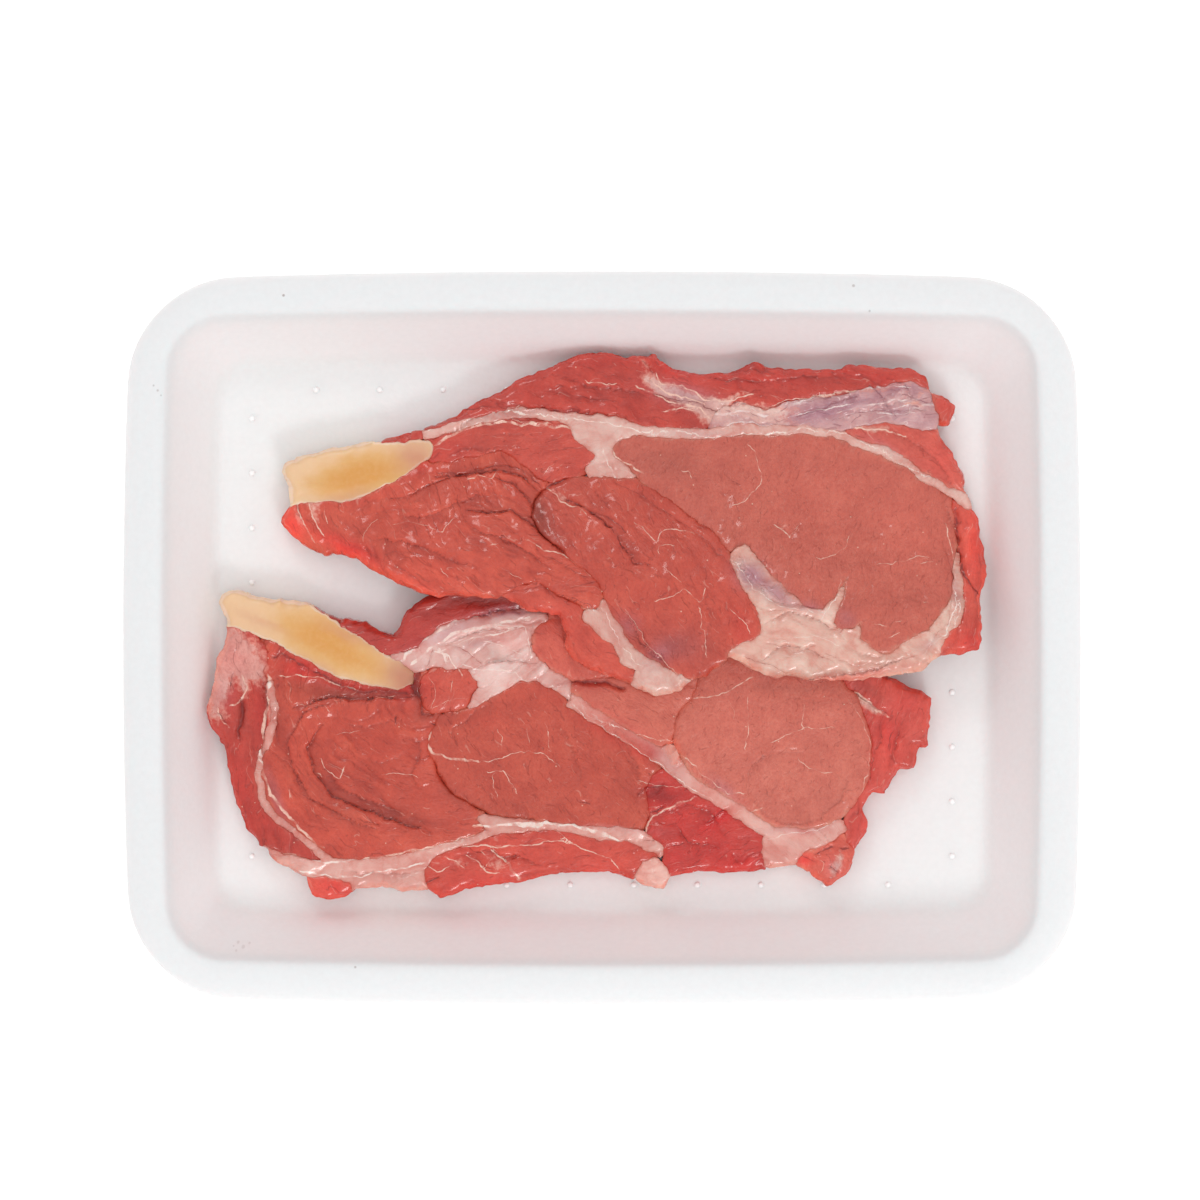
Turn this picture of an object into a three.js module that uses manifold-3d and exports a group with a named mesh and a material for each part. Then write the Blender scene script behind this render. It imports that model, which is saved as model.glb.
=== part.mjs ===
// Open foam meat tray with two raw meat slices. Millimetres, +Z up.
// The origin is the centre of the tray's underside, +X along the tray's length.

import * as THREE from 'three';
import { mergeVertices } from 'three/addons/utils/BufferGeometryUtils.js';
import Module from 'manifold-3d';

const wasm = await Module();
wasm.setup();

// Tray: outer size, the flat floor inside it, and how far its sides bow outwards.
const TRAY_LENGTH = 235;
const TRAY_WIDTH = 180;
const TRAY_HEIGHT = 25;
const FLOOR_TOP = 4;
const RIM_SPREAD = 23.5;
const FLOOR_HALF_X = TRAY_LENGTH / 2 - RIM_SPREAD;
const FLOOR_HALF_Y = TRAY_WIDTH / 2 - RIM_SPREAD;
const SIDE_BOW = 2.2;

// Nibs moulded on the floor, which keep the meat off the foam.
const NIB_RADIUS = 0.8;
const NIB_HEIGHT = 0.5;
const NIB_COLUMN = { x: 87, pitch: 13.6, count: 9 };
const NIB_ROW = { y: 61.5, pitch: 15.8, count: 10 };

// Slices: thickness, the clearances between touching pieces, and the facet sizes.
const SLICE_THICKNESS = 9;
const CONTACT_GAP = 0.3;
const SEAM_GAP = 0.3;
const SHARPEST_MITRE = 0.15;
const OUTLINE_STEP = 3.6;
const SURFACE_STEP = 7;
const RELIEF_DEPTH = 0.7;
const ALL_HEIGHTS = { low: -5, high: 40 };

// The upper slice leans on the lower one: it climbs over this length in front of its edge.
const CLIMB = 30;

const COLOURS = {
  foam: 0xf2f0ee,
  lean: 0xb4584a,
  paleLean: 0xb96f5c,
  brightLean: 0xc43c32,
  darkLean: 0x9c3d3a,
  fat: 0xe6cdbd,
  silverskin: 0xbd97a0,
  cartilage: 0xe8bb80,
};

// ---------------------------------------------------------------- solids and outlines

function solidOf(geometry) {
  const bare = geometry.clone();
  bare.deleteAttribute('normal');
  bare.deleteAttribute('uv');
  const merged = mergeVertices(bare, 1e-4);
  const kept = [];
  const index = merged.index.array;
  for (let i = 0; i < index.length; i += 3) {
    const [a, b, c] = [index[i], index[i + 1], index[i + 2]];
    if (a !== b && b !== c && c !== a) kept.push(a, b, c);
  }
  return new wasm.Manifold(new wasm.Mesh({
    numProp: 3,
    vertProperties: merged.attributes.position.array,
    triVerts: new Uint32Array(kept),
  }));
}

function geometryOf(solid) {
  const { vertProperties, triVerts } = solid.getMesh();
  const geometry = new THREE.BufferGeometry();
  geometry.setAttribute('position', new THREE.BufferAttribute(new Float32Array(vertProperties), 3));
  geometry.setIndex(new THREE.BufferAttribute(new Uint32Array(triVerts), 1));
  geometry.computeVertexNormals();
  return geometry;
}

// The largest body of a cut solid: scraps that a cut leaves loose are dropped.
function largestBody(solid) {
  const bodies = solid.decompose();
  return bodies.reduce((best, body) => (body.volume() > best.volume() ? body : best));
}

// A smooth closed outline through a few corners, with the corners themselves kept.
function closedOutline(corners) {
  const points = corners.map(([x, y]) => new THREE.Vector3(x, y, 0));
  const curve = new THREE.CatmullRomCurve3(points, true, 'centripetal');
  return points.flatMap((corner, i) => {
    const next = points[(i + 1) % points.length];
    const steps = Math.max(Math.round(corner.distanceTo(next) / OUTLINE_STEP), 1);
    return Array.from({ length: steps }, (_, j) => {
      const point = curve.getPoint((i + j / steps) / points.length);
      return new THREE.Vector2(point.x, point.y);
    });
  });
}

// A narrow band of tissue along a line, as wide as a seam.
function bandOutline(line, width) {
  const points = line.map(([x, y]) => new THREE.Vector3(x, y, 0));
  const curve = new THREE.CatmullRomCurve3(points, false, 'centripetal');
  const steps = Math.ceil(curve.getLength() / OUTLINE_STEP);
  const left = [];
  const right = [];
  for (let i = 0; i <= steps; i += 1) {
    const p = curve.getPointAt(i / steps);
    const t = curve.getTangentAt(i / steps);
    const half = width / 2;
    left.push(new THREE.Vector2(p.x - t.y * half, p.y + t.x * half));
    right.unshift(new THREE.Vector2(p.x + t.y * half, p.y - t.x * half));
  }
  return [...left, ...right];
}

// The same outline with every side moved outwards, and the corners drawn out to match.
function grown(outline, distance) {
  const sign = THREE.ShapeUtils.isClockWise(outline) ? -1 : 1;
  const outwards = (from, to) => {
    const along = to.clone().sub(from).normalize();
    return new THREE.Vector2(sign * along.y, -sign * along.x);
  };
  return outline.map((point, i) => {
    const before = outline[(i + outline.length - 1) % outline.length];
    const after = outline[(i + 1) % outline.length];
    const normalIn = outwards(before, point);
    const normalOut = outwards(point, after);
    const spread = Math.max(1 + normalIn.dot(normalOut), SHARPEST_MITRE);
    return point.clone().addScaledVector(normalIn.add(normalOut), distance / spread);
  });
}

function prism(outline) {
  const depth = ALL_HEIGHTS.high - ALL_HEIGHTS.low;
  const geometry = new THREE.ExtrudeGeometry(new THREE.Shape(outline), { depth, bevelEnabled: false });
  geometry.translate(0, 0, ALL_HEIGHTS.low);
  return solidOf(geometry);
}

const joined = (solids) => solids.reduce((all, solid) => all.add(solid));

// ---------------------------------------------------------------- foam tray

// Cross-section of the tray from the middle of the floor, over the rim, back under the base.
// The first number is the distance outwards from the edge of the floor.
const WALL_PROFILE = [
  [0, FLOOR_TOP], [1.4, 4.3], [2.8, 5.4], [4.4, 8], [7.2, 12.8], [10.2, 18.2], [12.4, 22.4],
  [13.3, 24.2], [14.6, TRAY_HEIGHT], [18, 24.8], [21, 24], [23, 22.2], [RIM_SPREAD, 20.6],
  [22.8, 19.6], [20.6, 20], [18.2, 20.2], [16.6, 19.6], [15.2, 18.2], [13.6, 15.4],
  [10.9, 10.8], [8.4, 6], [6.6, 2.6], [5.2, 0.8], [3.2, 0],
];

// Corner radius at a distance outwards from the floor's edge: tight inside, fuller round the rim.
const CORNER_RADII = [[0, 8], [13, 13], [RIM_SPREAD, 26]];

function cornerRadius(spread) {
  const next = spread < CORNER_RADII[1][0] ? 1 : 2;
  const [low, high] = [CORNER_RADII[next - 1], CORNER_RADII[next]];
  return THREE.MathUtils.mapLinear(Math.max(spread, 0), low[0], high[0], low[1], high[1]);
}

// The tray's plan at that distance: points all round it, always as many and in the same order.
function planRing(spread) {
  const radius = cornerRadius(spread);
  const halfX = FLOOR_HALF_X + spread - radius;
  const halfY = FLOOR_HALF_Y + spread - radius;
  const cornerSteps = 6;
  const ring = [];
  [[1, 1], [-1, 1], [-1, -1], [1, -1]].forEach(([signX, signY], quarter) => {
    for (let i = 0; i <= cornerSteps; i += 1) {
      const angle = (Math.PI / 2) * (quarter + i / cornerSteps);
      const x = signX * halfX + radius * Math.cos(angle);
      const y = signY * halfY + radius * Math.sin(angle);
      ring.push(new THREE.Vector2(x, y));
    }
    const start = ring[ring.length - 1];
    const alongX = quarter % 2 === 0;
    const end = new THREE.Vector2(alongX ? -start.x : start.x, alongX ? start.y : -start.y);
    const sideSteps = alongX ? 6 : 4;
    for (let i = 1; i < sideSteps; i += 1) ring.push(start.clone().lerp(end, i / sideSteps));
  });
  return ring;
}

// The straight sides bow outwards, most at their middles.
function bowed(x, y) {
  const nearEndX = (2 * x) / TRAY_LENGTH;
  const nearEndY = (2 * y) / TRAY_WIDTH;
  return [
    x * (1 - (2 * SIDE_BOW / TRAY_LENGTH) * nearEndY ** 2),
    y * (1 - (2 * SIDE_BOW / TRAY_WIDTH) * nearEndX ** 2),
  ];
}

function trayShell() {
  const profile = [[-1, FLOOR_TOP], ...WALL_PROFILE, [-1, 0]].reverse();
  const rings = profile.map(([distance]) => planRing(Math.max(distance, 0)));
  const count = rings[0].length;
  const points = profile.map(([distance, z], i) => new THREE.Vector2(distance < 0 ? 0 : i + 1, z));
  const geometry = new THREE.LatheGeometry(points, count);
  const position = geometry.attributes.position;
  for (let k = 0; k < position.count; k += 1) {
    const [distance, z] = profile[k % profile.length];
    const plan = rings[k % profile.length][Math.floor(k / profile.length) % count];
    const [bowX, bowY] = distance < 0 ? [0, 0] : bowed(plan.x, plan.y);
    position.setXYZ(k, bowX, bowY, z);
  }
  return geometry;
}

// Small domes round the edge of the floor.
function nibs() {
  const places = [];
  for (let i = 0; i < NIB_COLUMN.count; i += 1) {
    const y = (i - (NIB_COLUMN.count - 1) / 2) * NIB_COLUMN.pitch;
    places.push([-NIB_COLUMN.x, y], [NIB_COLUMN.x, y]);
  }
  for (let i = 0; i < NIB_ROW.count; i += 1) {
    const x = (i - (NIB_ROW.count - 1) / 2) * NIB_ROW.pitch;
    places.push([x, -NIB_ROW.y], [x, NIB_ROW.y]);
  }
  return places.map(([x, y]) => {
    const nib = new THREE.CylinderGeometry(NIB_RADIUS * 0.5, NIB_RADIUS, NIB_HEIGHT + 1, 5);
    nib.rotateX(Math.PI / 2);
    nib.translate(x, y, FLOOR_TOP + (NIB_HEIGHT - 1) / 2);
    return solidOf(nib);
  });
}

// How far outwards of the floor's edge a point of the tray's plan is.
function spreadAt(x, y) {
  let [inside, outside] = [-TRAY_WIDTH / 4, RIM_SPREAD];
  for (let i = 0; i < 24; i += 1) {
    const middle = (inside + outside) / 2;
    const radius = cornerRadius(middle);
    const overX = Math.max(Math.abs(x) - (FLOOR_HALF_X + middle - radius), 0);
    const overY = Math.max(Math.abs(y) - (FLOOR_HALF_Y + middle - radius), 0);
    if (Math.hypot(overX, overY) > radius) inside = middle;
    else outside = middle;
  }
  return outside;
}

// Height of the tray's inner surface above a point of its plan.
function trayHeight(x, y) {
  const distance = spreadAt(x, y) + 0.6;
  if (distance <= 0) return FLOOR_TOP;
  const next = WALL_PROFILE.findIndex(([reach]) => reach > distance);
  const [low, high] = [WALL_PROFILE[next - 1], WALL_PROFILE[next]];
  return THREE.MathUtils.mapLinear(distance, low[0], high[0], low[1], high[1]);
}

// ---------------------------------------------------------------- slices

const RESTING = FLOOR_TOP + NIB_HEIGHT + CONTACT_GAP;
const LOWER_TOP = RESTING + SLICE_THICKNESS;

// Shallow hollows of a hand-cut face: it never rises above its flat height.
function hollow(x, y) {
  const wave = Math.sin(x / 12 + 0.8) * Math.cos(y / 10 - 0.4) + 0.5 * Math.sin(x / 7 - y / 9);
  return RELIEF_DEPTH * (wave - 1.5) / 3;
}

// How far the upper slice is lifted by the one below it: nothing at its far side and its left
// tip, the full thickness where it lies over the lower slice.
function lift(x, y) {
  const lowerEdge = 10 - 0.17 * x - Math.max(-40 - x, 0);
  const share = THREE.MathUtils.smoothstep(lowerEdge + CLIMB + 3 - y, 0, CLIMB);
  return share * (SLICE_THICKNESS + CONTACT_GAP);
}

// A grid of the slice's extent, its two faces moved to their heights.
function slab(outline, bottomAt, topAt) {
  const box = new THREE.Box2().setFromPoints(outline).expandByScalar(SURFACE_STEP);
  const size = box.getSize(new THREE.Vector2());
  const middle = box.getCenter(new THREE.Vector2());
  const columns = Math.round(size.x / SURFACE_STEP);
  const rows = Math.round(size.y / SURFACE_STEP);
  const geometry = new THREE.BoxGeometry(size.x, size.y, 2, columns, rows, 1);
  const position = geometry.attributes.position;
  for (let k = 0; k < position.count; k += 1) {
    const x = position.getX(k) + middle.x;
    const y = position.getY(k) + middle.y;
    const z = position.getZ(k) > 0 ? topAt(x, y) : bottomAt(x, y);
    position.setXYZ(k, x, y, z);
  }
  return solidOf(geometry).intersect(prism(outline));
}

// Cuts a slice into its pieces. A piece listed earlier takes its whole outline, and the later
// ones keep clear of it; the last piece, which has no outline, is what remains.
function piecesOf(slice, plan) {
  let taken = null;
  return plan.map(({ name, colour, outlines }) => {
    let body = slice;
    if (outlines) body = body.intersect(joined(outlines.map(prism)));
    if (taken) body = body.subtract(taken);
    if (outlines) {
      const cleared = joined(outlines.map((outline) => prism(grown(outline, SEAM_GAP))));
      taken = taken ? taken.add(cleared) : cleared;
    }
    return meshOf(name, colour, geometryOf(largestBody(body)));
  });
}

function meshOf(name, colour, geometry) {
  const wet = colour !== 'foam';
  const material = new THREE.MeshStandardMaterial({
    color: COLOURS[colour],
    roughness: wet ? 0.4 : 0.8,
    metalness: 0,
  });
  const mesh = new THREE.Mesh(geometry, material);
  mesh.name = name;
  return mesh;
}

// ---------------------------------------------------------------- upper slice

const UPPER_EDGE = closedOutline([
  [-79.3, 29.1], [-77, 32], [-77, 36.7], [-79, 42.3], [-75, 44.3], [-63, 47.1], [-56, 48.2],
  [-54, 49.3], [-47.3, 50.3], [-42.7, 52.8], [-36.7, 54.7], [-31, 57.8], [-24, 61.3], [-16.3, 65.3],
  [-8, 68.7], [0, 70.2], [11, 69.1], [13.3, 70], [15, 67.5], [22, 65.3], [34, 66], [38.5, 68.2],
  [40, 66.7], [50, 66.1], [59.3, 66.1], [60.5, 67.2], [68, 66.7], [76, 66.3], [80.8, 63],
  [80.5, 60.9], [84.7, 59], [87, 57], [85.6, 52.2], [82.6, 52.4], [82.6, 49.6], [88, 43],
  [90, 35.7], [91.9, 31], [93.7, 22.3], [94.3, 15.3], [93, 10.4], [92.9, 3], [91.3, -3],
  [82.1, -4.7], [78.4, -7.4], [70, -8.9], [52, -10.2], [45.3, -8.5], [43.3, -9.7], [37, -7.8],
  [32.3, -4.5], [30.5, -4.6], [25.3, -9.5], [22, -10.2], [19, -12.7], [13.5, -13.9], [5.4, -10.3],
  [-3.4, -7.1], [-8.7, -3], [-8.5, 1], [-10.5, 5.8], [-18.3, 7], [-23.5, 9.8], [-42.7, 11],
  [-51, 14], [-57.7, 17.7], [-64, 21.1], [-68, 20.5], [-76, 25],
]);

const UPPER_PLAN = [
  {
    name: 'upper_cartilage',
    colour: 'cartilage',
    outlines: [closedOutline([
      [-84, 33.2], [-76, 33], [-68, 33.6], [-61, 34.3], [-56, 35.7], [-47, 41.5], [-43, 44.6],
      [-41.9, 47.2], [-42.8, 48.2], [-56, 47.8], [-60, 51], [-84, 48],
    ])],
  },
  {
    name: 'upper_seam_fat',
    colour: 'fat',
    outlines: [
      bandOutline([
        [-44, 50], [-35.3, 52.3], [-26.7, 54.5], [-20, 56], [-13.3, 54.8], [-5, 54.2], [4, 53],
        [13.3, 50.7], [20, 49.9], [33.3, 51.3], [46.7, 51.4], [58, 50.2], [64, 47.7], [73, 44.2],
        [80, 39.3], [88.3, 34.8], [91, 33],
      ], 1.9),
      closedOutline([
        [-9, 54], [0, 54], [10, 50.8], [5, 49.8], [2.5, 47], [3.5, 44.6], [8.4, 39.4], [2, 39.2],
        [-3.5, 39.6], [-4.3, 41], [-1.5, 44.5], [-3, 46.5], [-6.7, 49.7],
      ]),
    ],
  },
  {
    name: 'upper_fat_lump',
    colour: 'fat',
    outlines: [closedOutline([
      [31.3, 20.6], [33, 22], [35.6, 22.4], [38.7, 18.7], [42.7, 13.7], [48, 9], [51, 7], [54, 7],
      [57, 9.8], [59.5, 13.5], [57.6, 7.5], [56.4, 4], [58.7, 1.6], [61.5, 1.9], [63.3, 3.3],
      [63, -0.3], [66.4, -3.4], [70, -4.7], [74, -1.6], [80.1, 1.4], [84.4, 7.7], [86.4, 13],
      [87.2, 22], [88, 16], [88.4, 8], [87.4, 3.6], [84.6, 1.5], [83, -2], [82, -9], [72, -13],
      [45, -13], [29, -7.2], [31.5, -2.5], [36, -1], [39, 1], [37.6, 8], [35, 11.3], [33, 16],
    ])],
  },
  {
    name: 'upper_bottom_fat',
    colour: 'fat',
    outlines: [closedOutline([
      [0.3, 9.9], [1.6, 6.8], [5.4, 1.1], [7.7, -2.3], [12.7, -6], [20, -9.8], [25, -12], [18, -18],
      [6, -15], [8.5, -7.6], [5.1, -5.7], [2, -1.1], [-0.9, 1.4], [-4.6, 4.6], [-4, 6.6], [-1, 6.9],
    ])],
  },
  {
    name: 'upper_silverskin',
    colour: 'silverskin',
    outlines: [closedOutline([
      [26.2, 50], [28.3, 55], [33, 58], [40, 56.2], [50, 58.7], [60, 59.3], [68.7, 61.8],
      [76, 63.4], [80.6, 61], [82.4, 55], [82.5, 51.4], [78.7, 51.5], [70, 53.2], [57, 51.2],
      [40, 50],
    ])],
  },
  {
    name: 'upper_cap_muscle',
    colour: 'brightLean',
    outlines: [closedOutline([
      [-61, 47], [-50, 48.4], [-42, 49.5], [-20, 55], [0, 53], [25, 49.5], [33, 56], [45, 56],
      [60, 58.5], [76, 62.5], [80.4, 60.8], [86, 66], [70, 74], [0, 77], [-40, 60], [-61, 54],
    ])],
  },
  {
    name: 'upper_tab',
    colour: 'brightLean',
    outlines: [closedOutline([
      [80.4, 60.6], [84, 63], [91, 58], [88, 50.5], [82.4, 51.4], [82.2, 56],
    ])],
  },
  {
    name: 'upper_right_muscle',
    colour: 'brightLean',
    outlines: [closedOutline([
      [59, 50.6], [66, 46.6], [80, 38.9], [88.3, 34.6], [93, 33.4], [97, 40], [88, 52], [82, 54],
      [70, 55],
    ])],
  },
  {
    name: 'upper_edge_muscle',
    colour: 'brightLean',
    outlines: [closedOutline([
      [86.8, 30], [86.4, 34.5], [92, 34.5], [98, 30], [99, 5], [95, -7], [82, -8], [82.5, -2],
      [85, 1.7], [87.6, 3.8], [88.4, 8], [87.8, 20],
    ])],
  },
  {
    name: 'upper_eye_muscle',
    colour: 'paleLean',
    outlines: [closedOutline([
      [3, 46.5], [4, 49.3], [12, 50.4], [45, 51.4], [59, 50], [66, 47], [77, 42], [83, 37.5],
      [87, 33], [87.3, 20], [86, 12], [82, 4], [76, 0], [66, -4], [58, 0], [50, 8], [40, 17],
      [35, 23], [31.6, 20.6], [29, 23.7], [21, 30.7], [14, 35.7], [8, 39.6],
    ])],
  },
  {
    name: 'upper_middle_muscle',
    colour: 'lean',
    outlines: [closedOutline([
      [-15.3, 35.7], [-13, 37.9], [-6, 39.1], [0, 39.2], [9, 38.7], [14, 36.5], [31, 22], [36, 12],
      [40, 4], [31, -6], [22, -11], [16, -7.7], [10.3, -5], [7, -1], [3.3, 4], [0.6, 10.5],
      [-3, 15.5], [-9, 20.7], [-15.3, 26.3], [-17.3, 29.7], [-17, 33],
    ])],
  },
  {
    name: 'upper_shoulder_muscle',
    colour: 'brightLean',
    outlines: [closedOutline([
      [-43, 43.6], [-44, 49], [-24, 54.7], [-18, 55.4], [-11.3, 54], [-6.7, 50], [-2, 45.6],
      [-1, 43.6], [-6, 39.4], [-14, 38.7], [-19, 42], [-22, 45], [-25, 46], [-33, 44.3],
    ])],
  },
  {
    name: 'upper_lower_muscle',
    colour: 'brightLean',
    outlines: [closedOutline([
      [-24, 10.5], [-16.7, 13.6], [-10, 10], [-5.3, 7.4], [-1, 1], [2, -1.4], [8, -7.4], [9, -12],
      [4, -18], [-16, -10], [-14, 4], [-26, 7],
    ])],
  },
  { name: 'upper_left_muscle', colour: 'lean' },
];

// ---------------------------------------------------------------- lower slice

const LOWER_EDGE = closedOutline([
  [-94.5, 9], [-93.5, 11.2], [-81, 9.2], [-72, 8.3], [-64.3, 5], [-58.7, 3.7], [-55.2, 1.3],
  [-51.8, 0.5], [-50, 2.5], [-48, 6.7], [-45, 8.5], [-42.7, 10.5], [-28, 14.5], [-15, 13],
  [15, 6], [45, 1], [58, -0.5], [66, -4], [70.4, -9.4], [77.9, -13.2], [81.1, -15.5],
  [80.3, -20.6], [79.9, -24.9], [80.5, -27.1], [77.5, -26.8], [76.9, -32.3], [73.3, -32],
  [69.7, -38.4], [67, -39], [65.3, -43], [65.4, -48.5], [62, -52.3], [61, -57], [56, -60.7],
  [51.7, -58], [48, -56], [43, -56.7], [32, -57.8], [22.7, -57.5], [17, -58.6], [15.5, -61.6],
  [11, -61.3], [4, -58], [-9, -58], [-20.7, -60], [-30, -61], [-39.7, -64], [-43.2, -61.8],
  [-47.3, -62.3], [-58.3, -61.5], [-68, -64.7], [-71.7, -63], [-72.6, -60], [-80, -55],
  [-85.3, -49.8], [-90, -41], [-91, -34.7], [-94, -25], [-97, -20.3], [-95.7, -13], [-95, -6],
  [-92.5, 1], [-92.6, 5],
]);

const LOWER_PLAN = [
  {
    name: 'lower_cartilage',
    colour: 'cartilage',
    outlines: [closedOutline([
      [-99, 14], [-80, 13], [-74, 10], [-70, 6.3], [-63, 2], [-57, -2], [-50.7, -5.8],
      [-46.7, -8.3], [-46.3, -10.7], [-50, -12.3], [-56.7, -11.8], [-65, -9.7], [-75.3, -4.3],
      [-85, 0.7], [-91.3, 3], [-99, 3.5],
    ])],
  },
  {
    name: 'lower_top_fat',
    colour: 'silverskin',
    outlines: [closedOutline([
      [-52, -4.6], [-48, -4.5], [-45, -3], [-40, 2.7], [-29, 5], [-20, 7], [-15, 6.4], [-13.4, 5],
      [-16.8, 2.6], [-17.3, -4], [-13, -8], [-8, -10.8], [-8, -15], [-12, -12.3], [-16, -10.7],
      [-20, -11], [-33, -17], [-30.5, -12.5], [-30.4, -10.3], [-33.6, -7.4], [-38, -7.3],
      [-42, -6.8], [-45.8, -8.6],
    ])],
  },
  {
    name: 'lower_seam_fat',
    colour: 'fat',
    outlines: [
      bandOutline([
        [-8.5, -15], [0, -20.3], [10, -26.7], [17, -31.5], [24, -37], [31, -41.2], [38, -45.7],
        [43, -49.5],
      ], 3),
      closedOutline([
        [41, -47], [46, -47.2], [53, -46.9], [59, -45.3], [60, -47.3], [53, -51.7], [50, -52.3],
        [47.7, -55.3], [47, -59], [41, -59], [39.5, -53],
      ]),
    ],
  },
  {
    name: 'lower_fat_blob',
    colour: 'fat',
    outlines: [closedOutline([
      [8.4, -58.5], [10, -55.3], [13.5, -54.6], [16, -56.5], [17, -60], [16, -64], [8, -64],
    ])],
  },
  {
    name: 'lower_band_fat',
    colour: 'fat',
    outlines: [
      bandOutline([
        [-82, -11], [-80.7, -17], [-82, -24.3], [-84.3, -29], [-85, -33], [-84, -38.3],
        [-81.3, -43.3], [-76, -48], [-70, -52.5], [-66, -56],
      ], 1.5),
      closedOutline([
        [-86, -50.5], [-78, -53.4], [-72, -55.2], [-66, -54.3], [-60, -55.3], [-50, -53.7],
        [-40, -51.2], [-28, -47.3], [-30.8, -44.6], [-27.5, -43.7], [-21.3, -44.7], [0, -46.8],
        [10, -47.6], [14.5, -51.5], [14.8, -54.6], [9, -50.7], [0, -49.4], [-10, -47.8],
        [-18, -47.4], [-36, -51.8], [-40, -53.3], [-44, -57], [-43.6, -66], [-60, -66],
        [-62, -60.4], [-72, -59], [-80, -56.6],
      ]),
    ],
  },
  {
    name: 'lower_corner_scrap',
    colour: 'brightLean',
    outlines: [closedOutline([[-60, -59.6], [-58.5, -66], [-74, -68], [-76, -58], [-66, -59]])],
  },
  {
    name: 'lower_rim_muscle',
    colour: 'brightLean',
    outlines: [closedOutline([
      [-100, 3], [-91, 2.5], [-85, 0.4], [-82.5, -3.5], [-83.2, -8], [-81.6, -17], [-84.8, -30],
      [-84, -38.5], [-81.5, -43.2], [-72, -51], [-67, -56], [-76, -57], [-90, -52], [-100, -30],
    ])],
  },
  {
    name: 'lower_round_muscle',
    colour: 'lean',
    outlines: [closedOutline([
      [-44, -9.3], [-42, -7], [-38, -7.3], [-33.3, -7.3], [-30.2, -10.3], [-30.6, -13],
      [-32.8, -16.8], [-36, -18.2], [-41.3, -19], [-44.3, -17], [-44.8, -13],
    ])],
  },
  {
    name: 'lower_middle_muscle',
    colour: 'lean',
    outlines: [closedOutline([
      [-40, -20], [-36, -17.8], [-30, -16], [-20, -11], [-15.7, -10.6], [-8.7, -15.3], [0, -20.5],
      [16, -31], [12, -34], [10.2, -38], [11.6, -43], [9, -48], [-8, -46], [-21.3, -44.5],
      [-27.3, -43.7], [-33.3, -40.3], [-38, -37], [-40.7, -32.3], [-42.7, -27.7], [-42.5, -24],
    ])],
  },
  {
    name: 'lower_small_muscle',
    colour: 'brightLean',
    outlines: [closedOutline([
      [-17, 0], [-15.5, 3.6], [-10, 9], [-4, 18], [10, 12], [10, -3], [4, -9], [-4.3, -10.4],
      [-9, -10.8], [-13, -8], [-17.4, -4],
    ])],
  },
  {
    name: 'lower_wedge_muscle',
    colour: 'brightLean',
    outlines: [closedOutline([
      [-8.5, -14.5], [-8, -11], [-4, -10.6], [4, -9.3], [10, -4], [11, 12], [22, 10], [22, -15.5],
      [18.5, -18], [17.5, -24], [12, -29], [0, -21],
    ])],
  },
  {
    name: 'lower_eye_muscle',
    colour: 'paleLean',
    outlines: [closedOutline([
      [18.7, -18], [22, -14], [22, 10], [57, 6], [57, -8], [61.9, -13.1], [64.3, -18.3],
      [66.2, -28], [65.7, -33], [63.5, -38], [58, -44.8], [50, -48], [42, -48], [24, -36],
      [18.4, -26], [17.3, -22],
    ])],
  },
  {
    name: 'lower_flap_muscle',
    colour: 'brightLean',
    outlines: [closedOutline([
      [57, 6], [57.5, -8], [62, -13.1], [66.4, -22], [66.8, -30], [65, -38], [59.5, -45.5],
      [60.6, -50.6], [64, -54], [74, -46], [90, -25], [84, -10], [70, -2],
    ])],
  },
  {
    name: 'lower_curled_muscle',
    colour: 'brightLean',
    outlines: [closedOutline([
      [47.6, -59], [48.4, -54.8], [50.5, -52.3], [60, -47.5], [62, -51], [65, -56], [60, -63],
      [51, -63],
    ])],
  },
  {
    name: 'lower_red_muscle',
    colour: 'brightLean',
    outlines: [closedOutline([
      [10.4, -35], [16, -32], [34, -42], [41, -48.5], [40.4, -53], [42, -60], [16, -60],
      [15.5, -54], [11, -48.6], [12, -42],
    ])],
  },
  {
    name: 'lower_top_muscle',
    colour: 'darkLean',
    outlines: [closedOutline([
      [-76, 12], [-70, 6], [-57, -2.2], [-52.5, -4.4], [-50, -3.8], [-46, -2], [-40, 3], [-30, 5.2],
      [-20, 7.2], [-13, 6], [-8, 10], [-4, 18], [-40, 20], [-60, 10],
    ])],
  },
  {
    name: 'lower_bottom_muscle',
    colour: 'brightLean',
    outlines: [closedOutline([
      [-45, -68], [-43.5, -56.4], [-38, -52.3], [-18, -47.2], [0, -49], [9, -50], [14, -54],
      [16, -58], [14, -66],
    ])],
  },
  { name: 'lower_left_muscle', colour: 'lean' },
];

// ---------------------------------------------------------------- assembly

function lowerSlice() {
  const bottomAt = (x, y) => Math.max(RESTING, trayHeight(x, y) + CONTACT_GAP);
  const topAt = (x, y) => LOWER_TOP + hollow(x, y);
  return slab(LOWER_EDGE, bottomAt, topAt);
}

function upperSlice() {
  const bottomAt = (x, y) => Math.max(RESTING + lift(x, y), trayHeight(x, y) + CONTACT_GAP);
  const topAt = (x, y) => LOWER_TOP + lift(x, y) + hollow(x + 40, y);
  return slab(UPPER_EDGE, bottomAt, topAt);
}

const tray = joined([solidOf(trayShell()), ...nibs()]);

const pack = new THREE.Group();
pack.add(meshOf('foam_tray', 'foam', geometryOf(tray)));
pack.add(...piecesOf(lowerSlice(), LOWER_PLAN));
pack.add(...piecesOf(upperSlice(), UPPER_PLAN));

export default pack;
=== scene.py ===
import math

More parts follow.
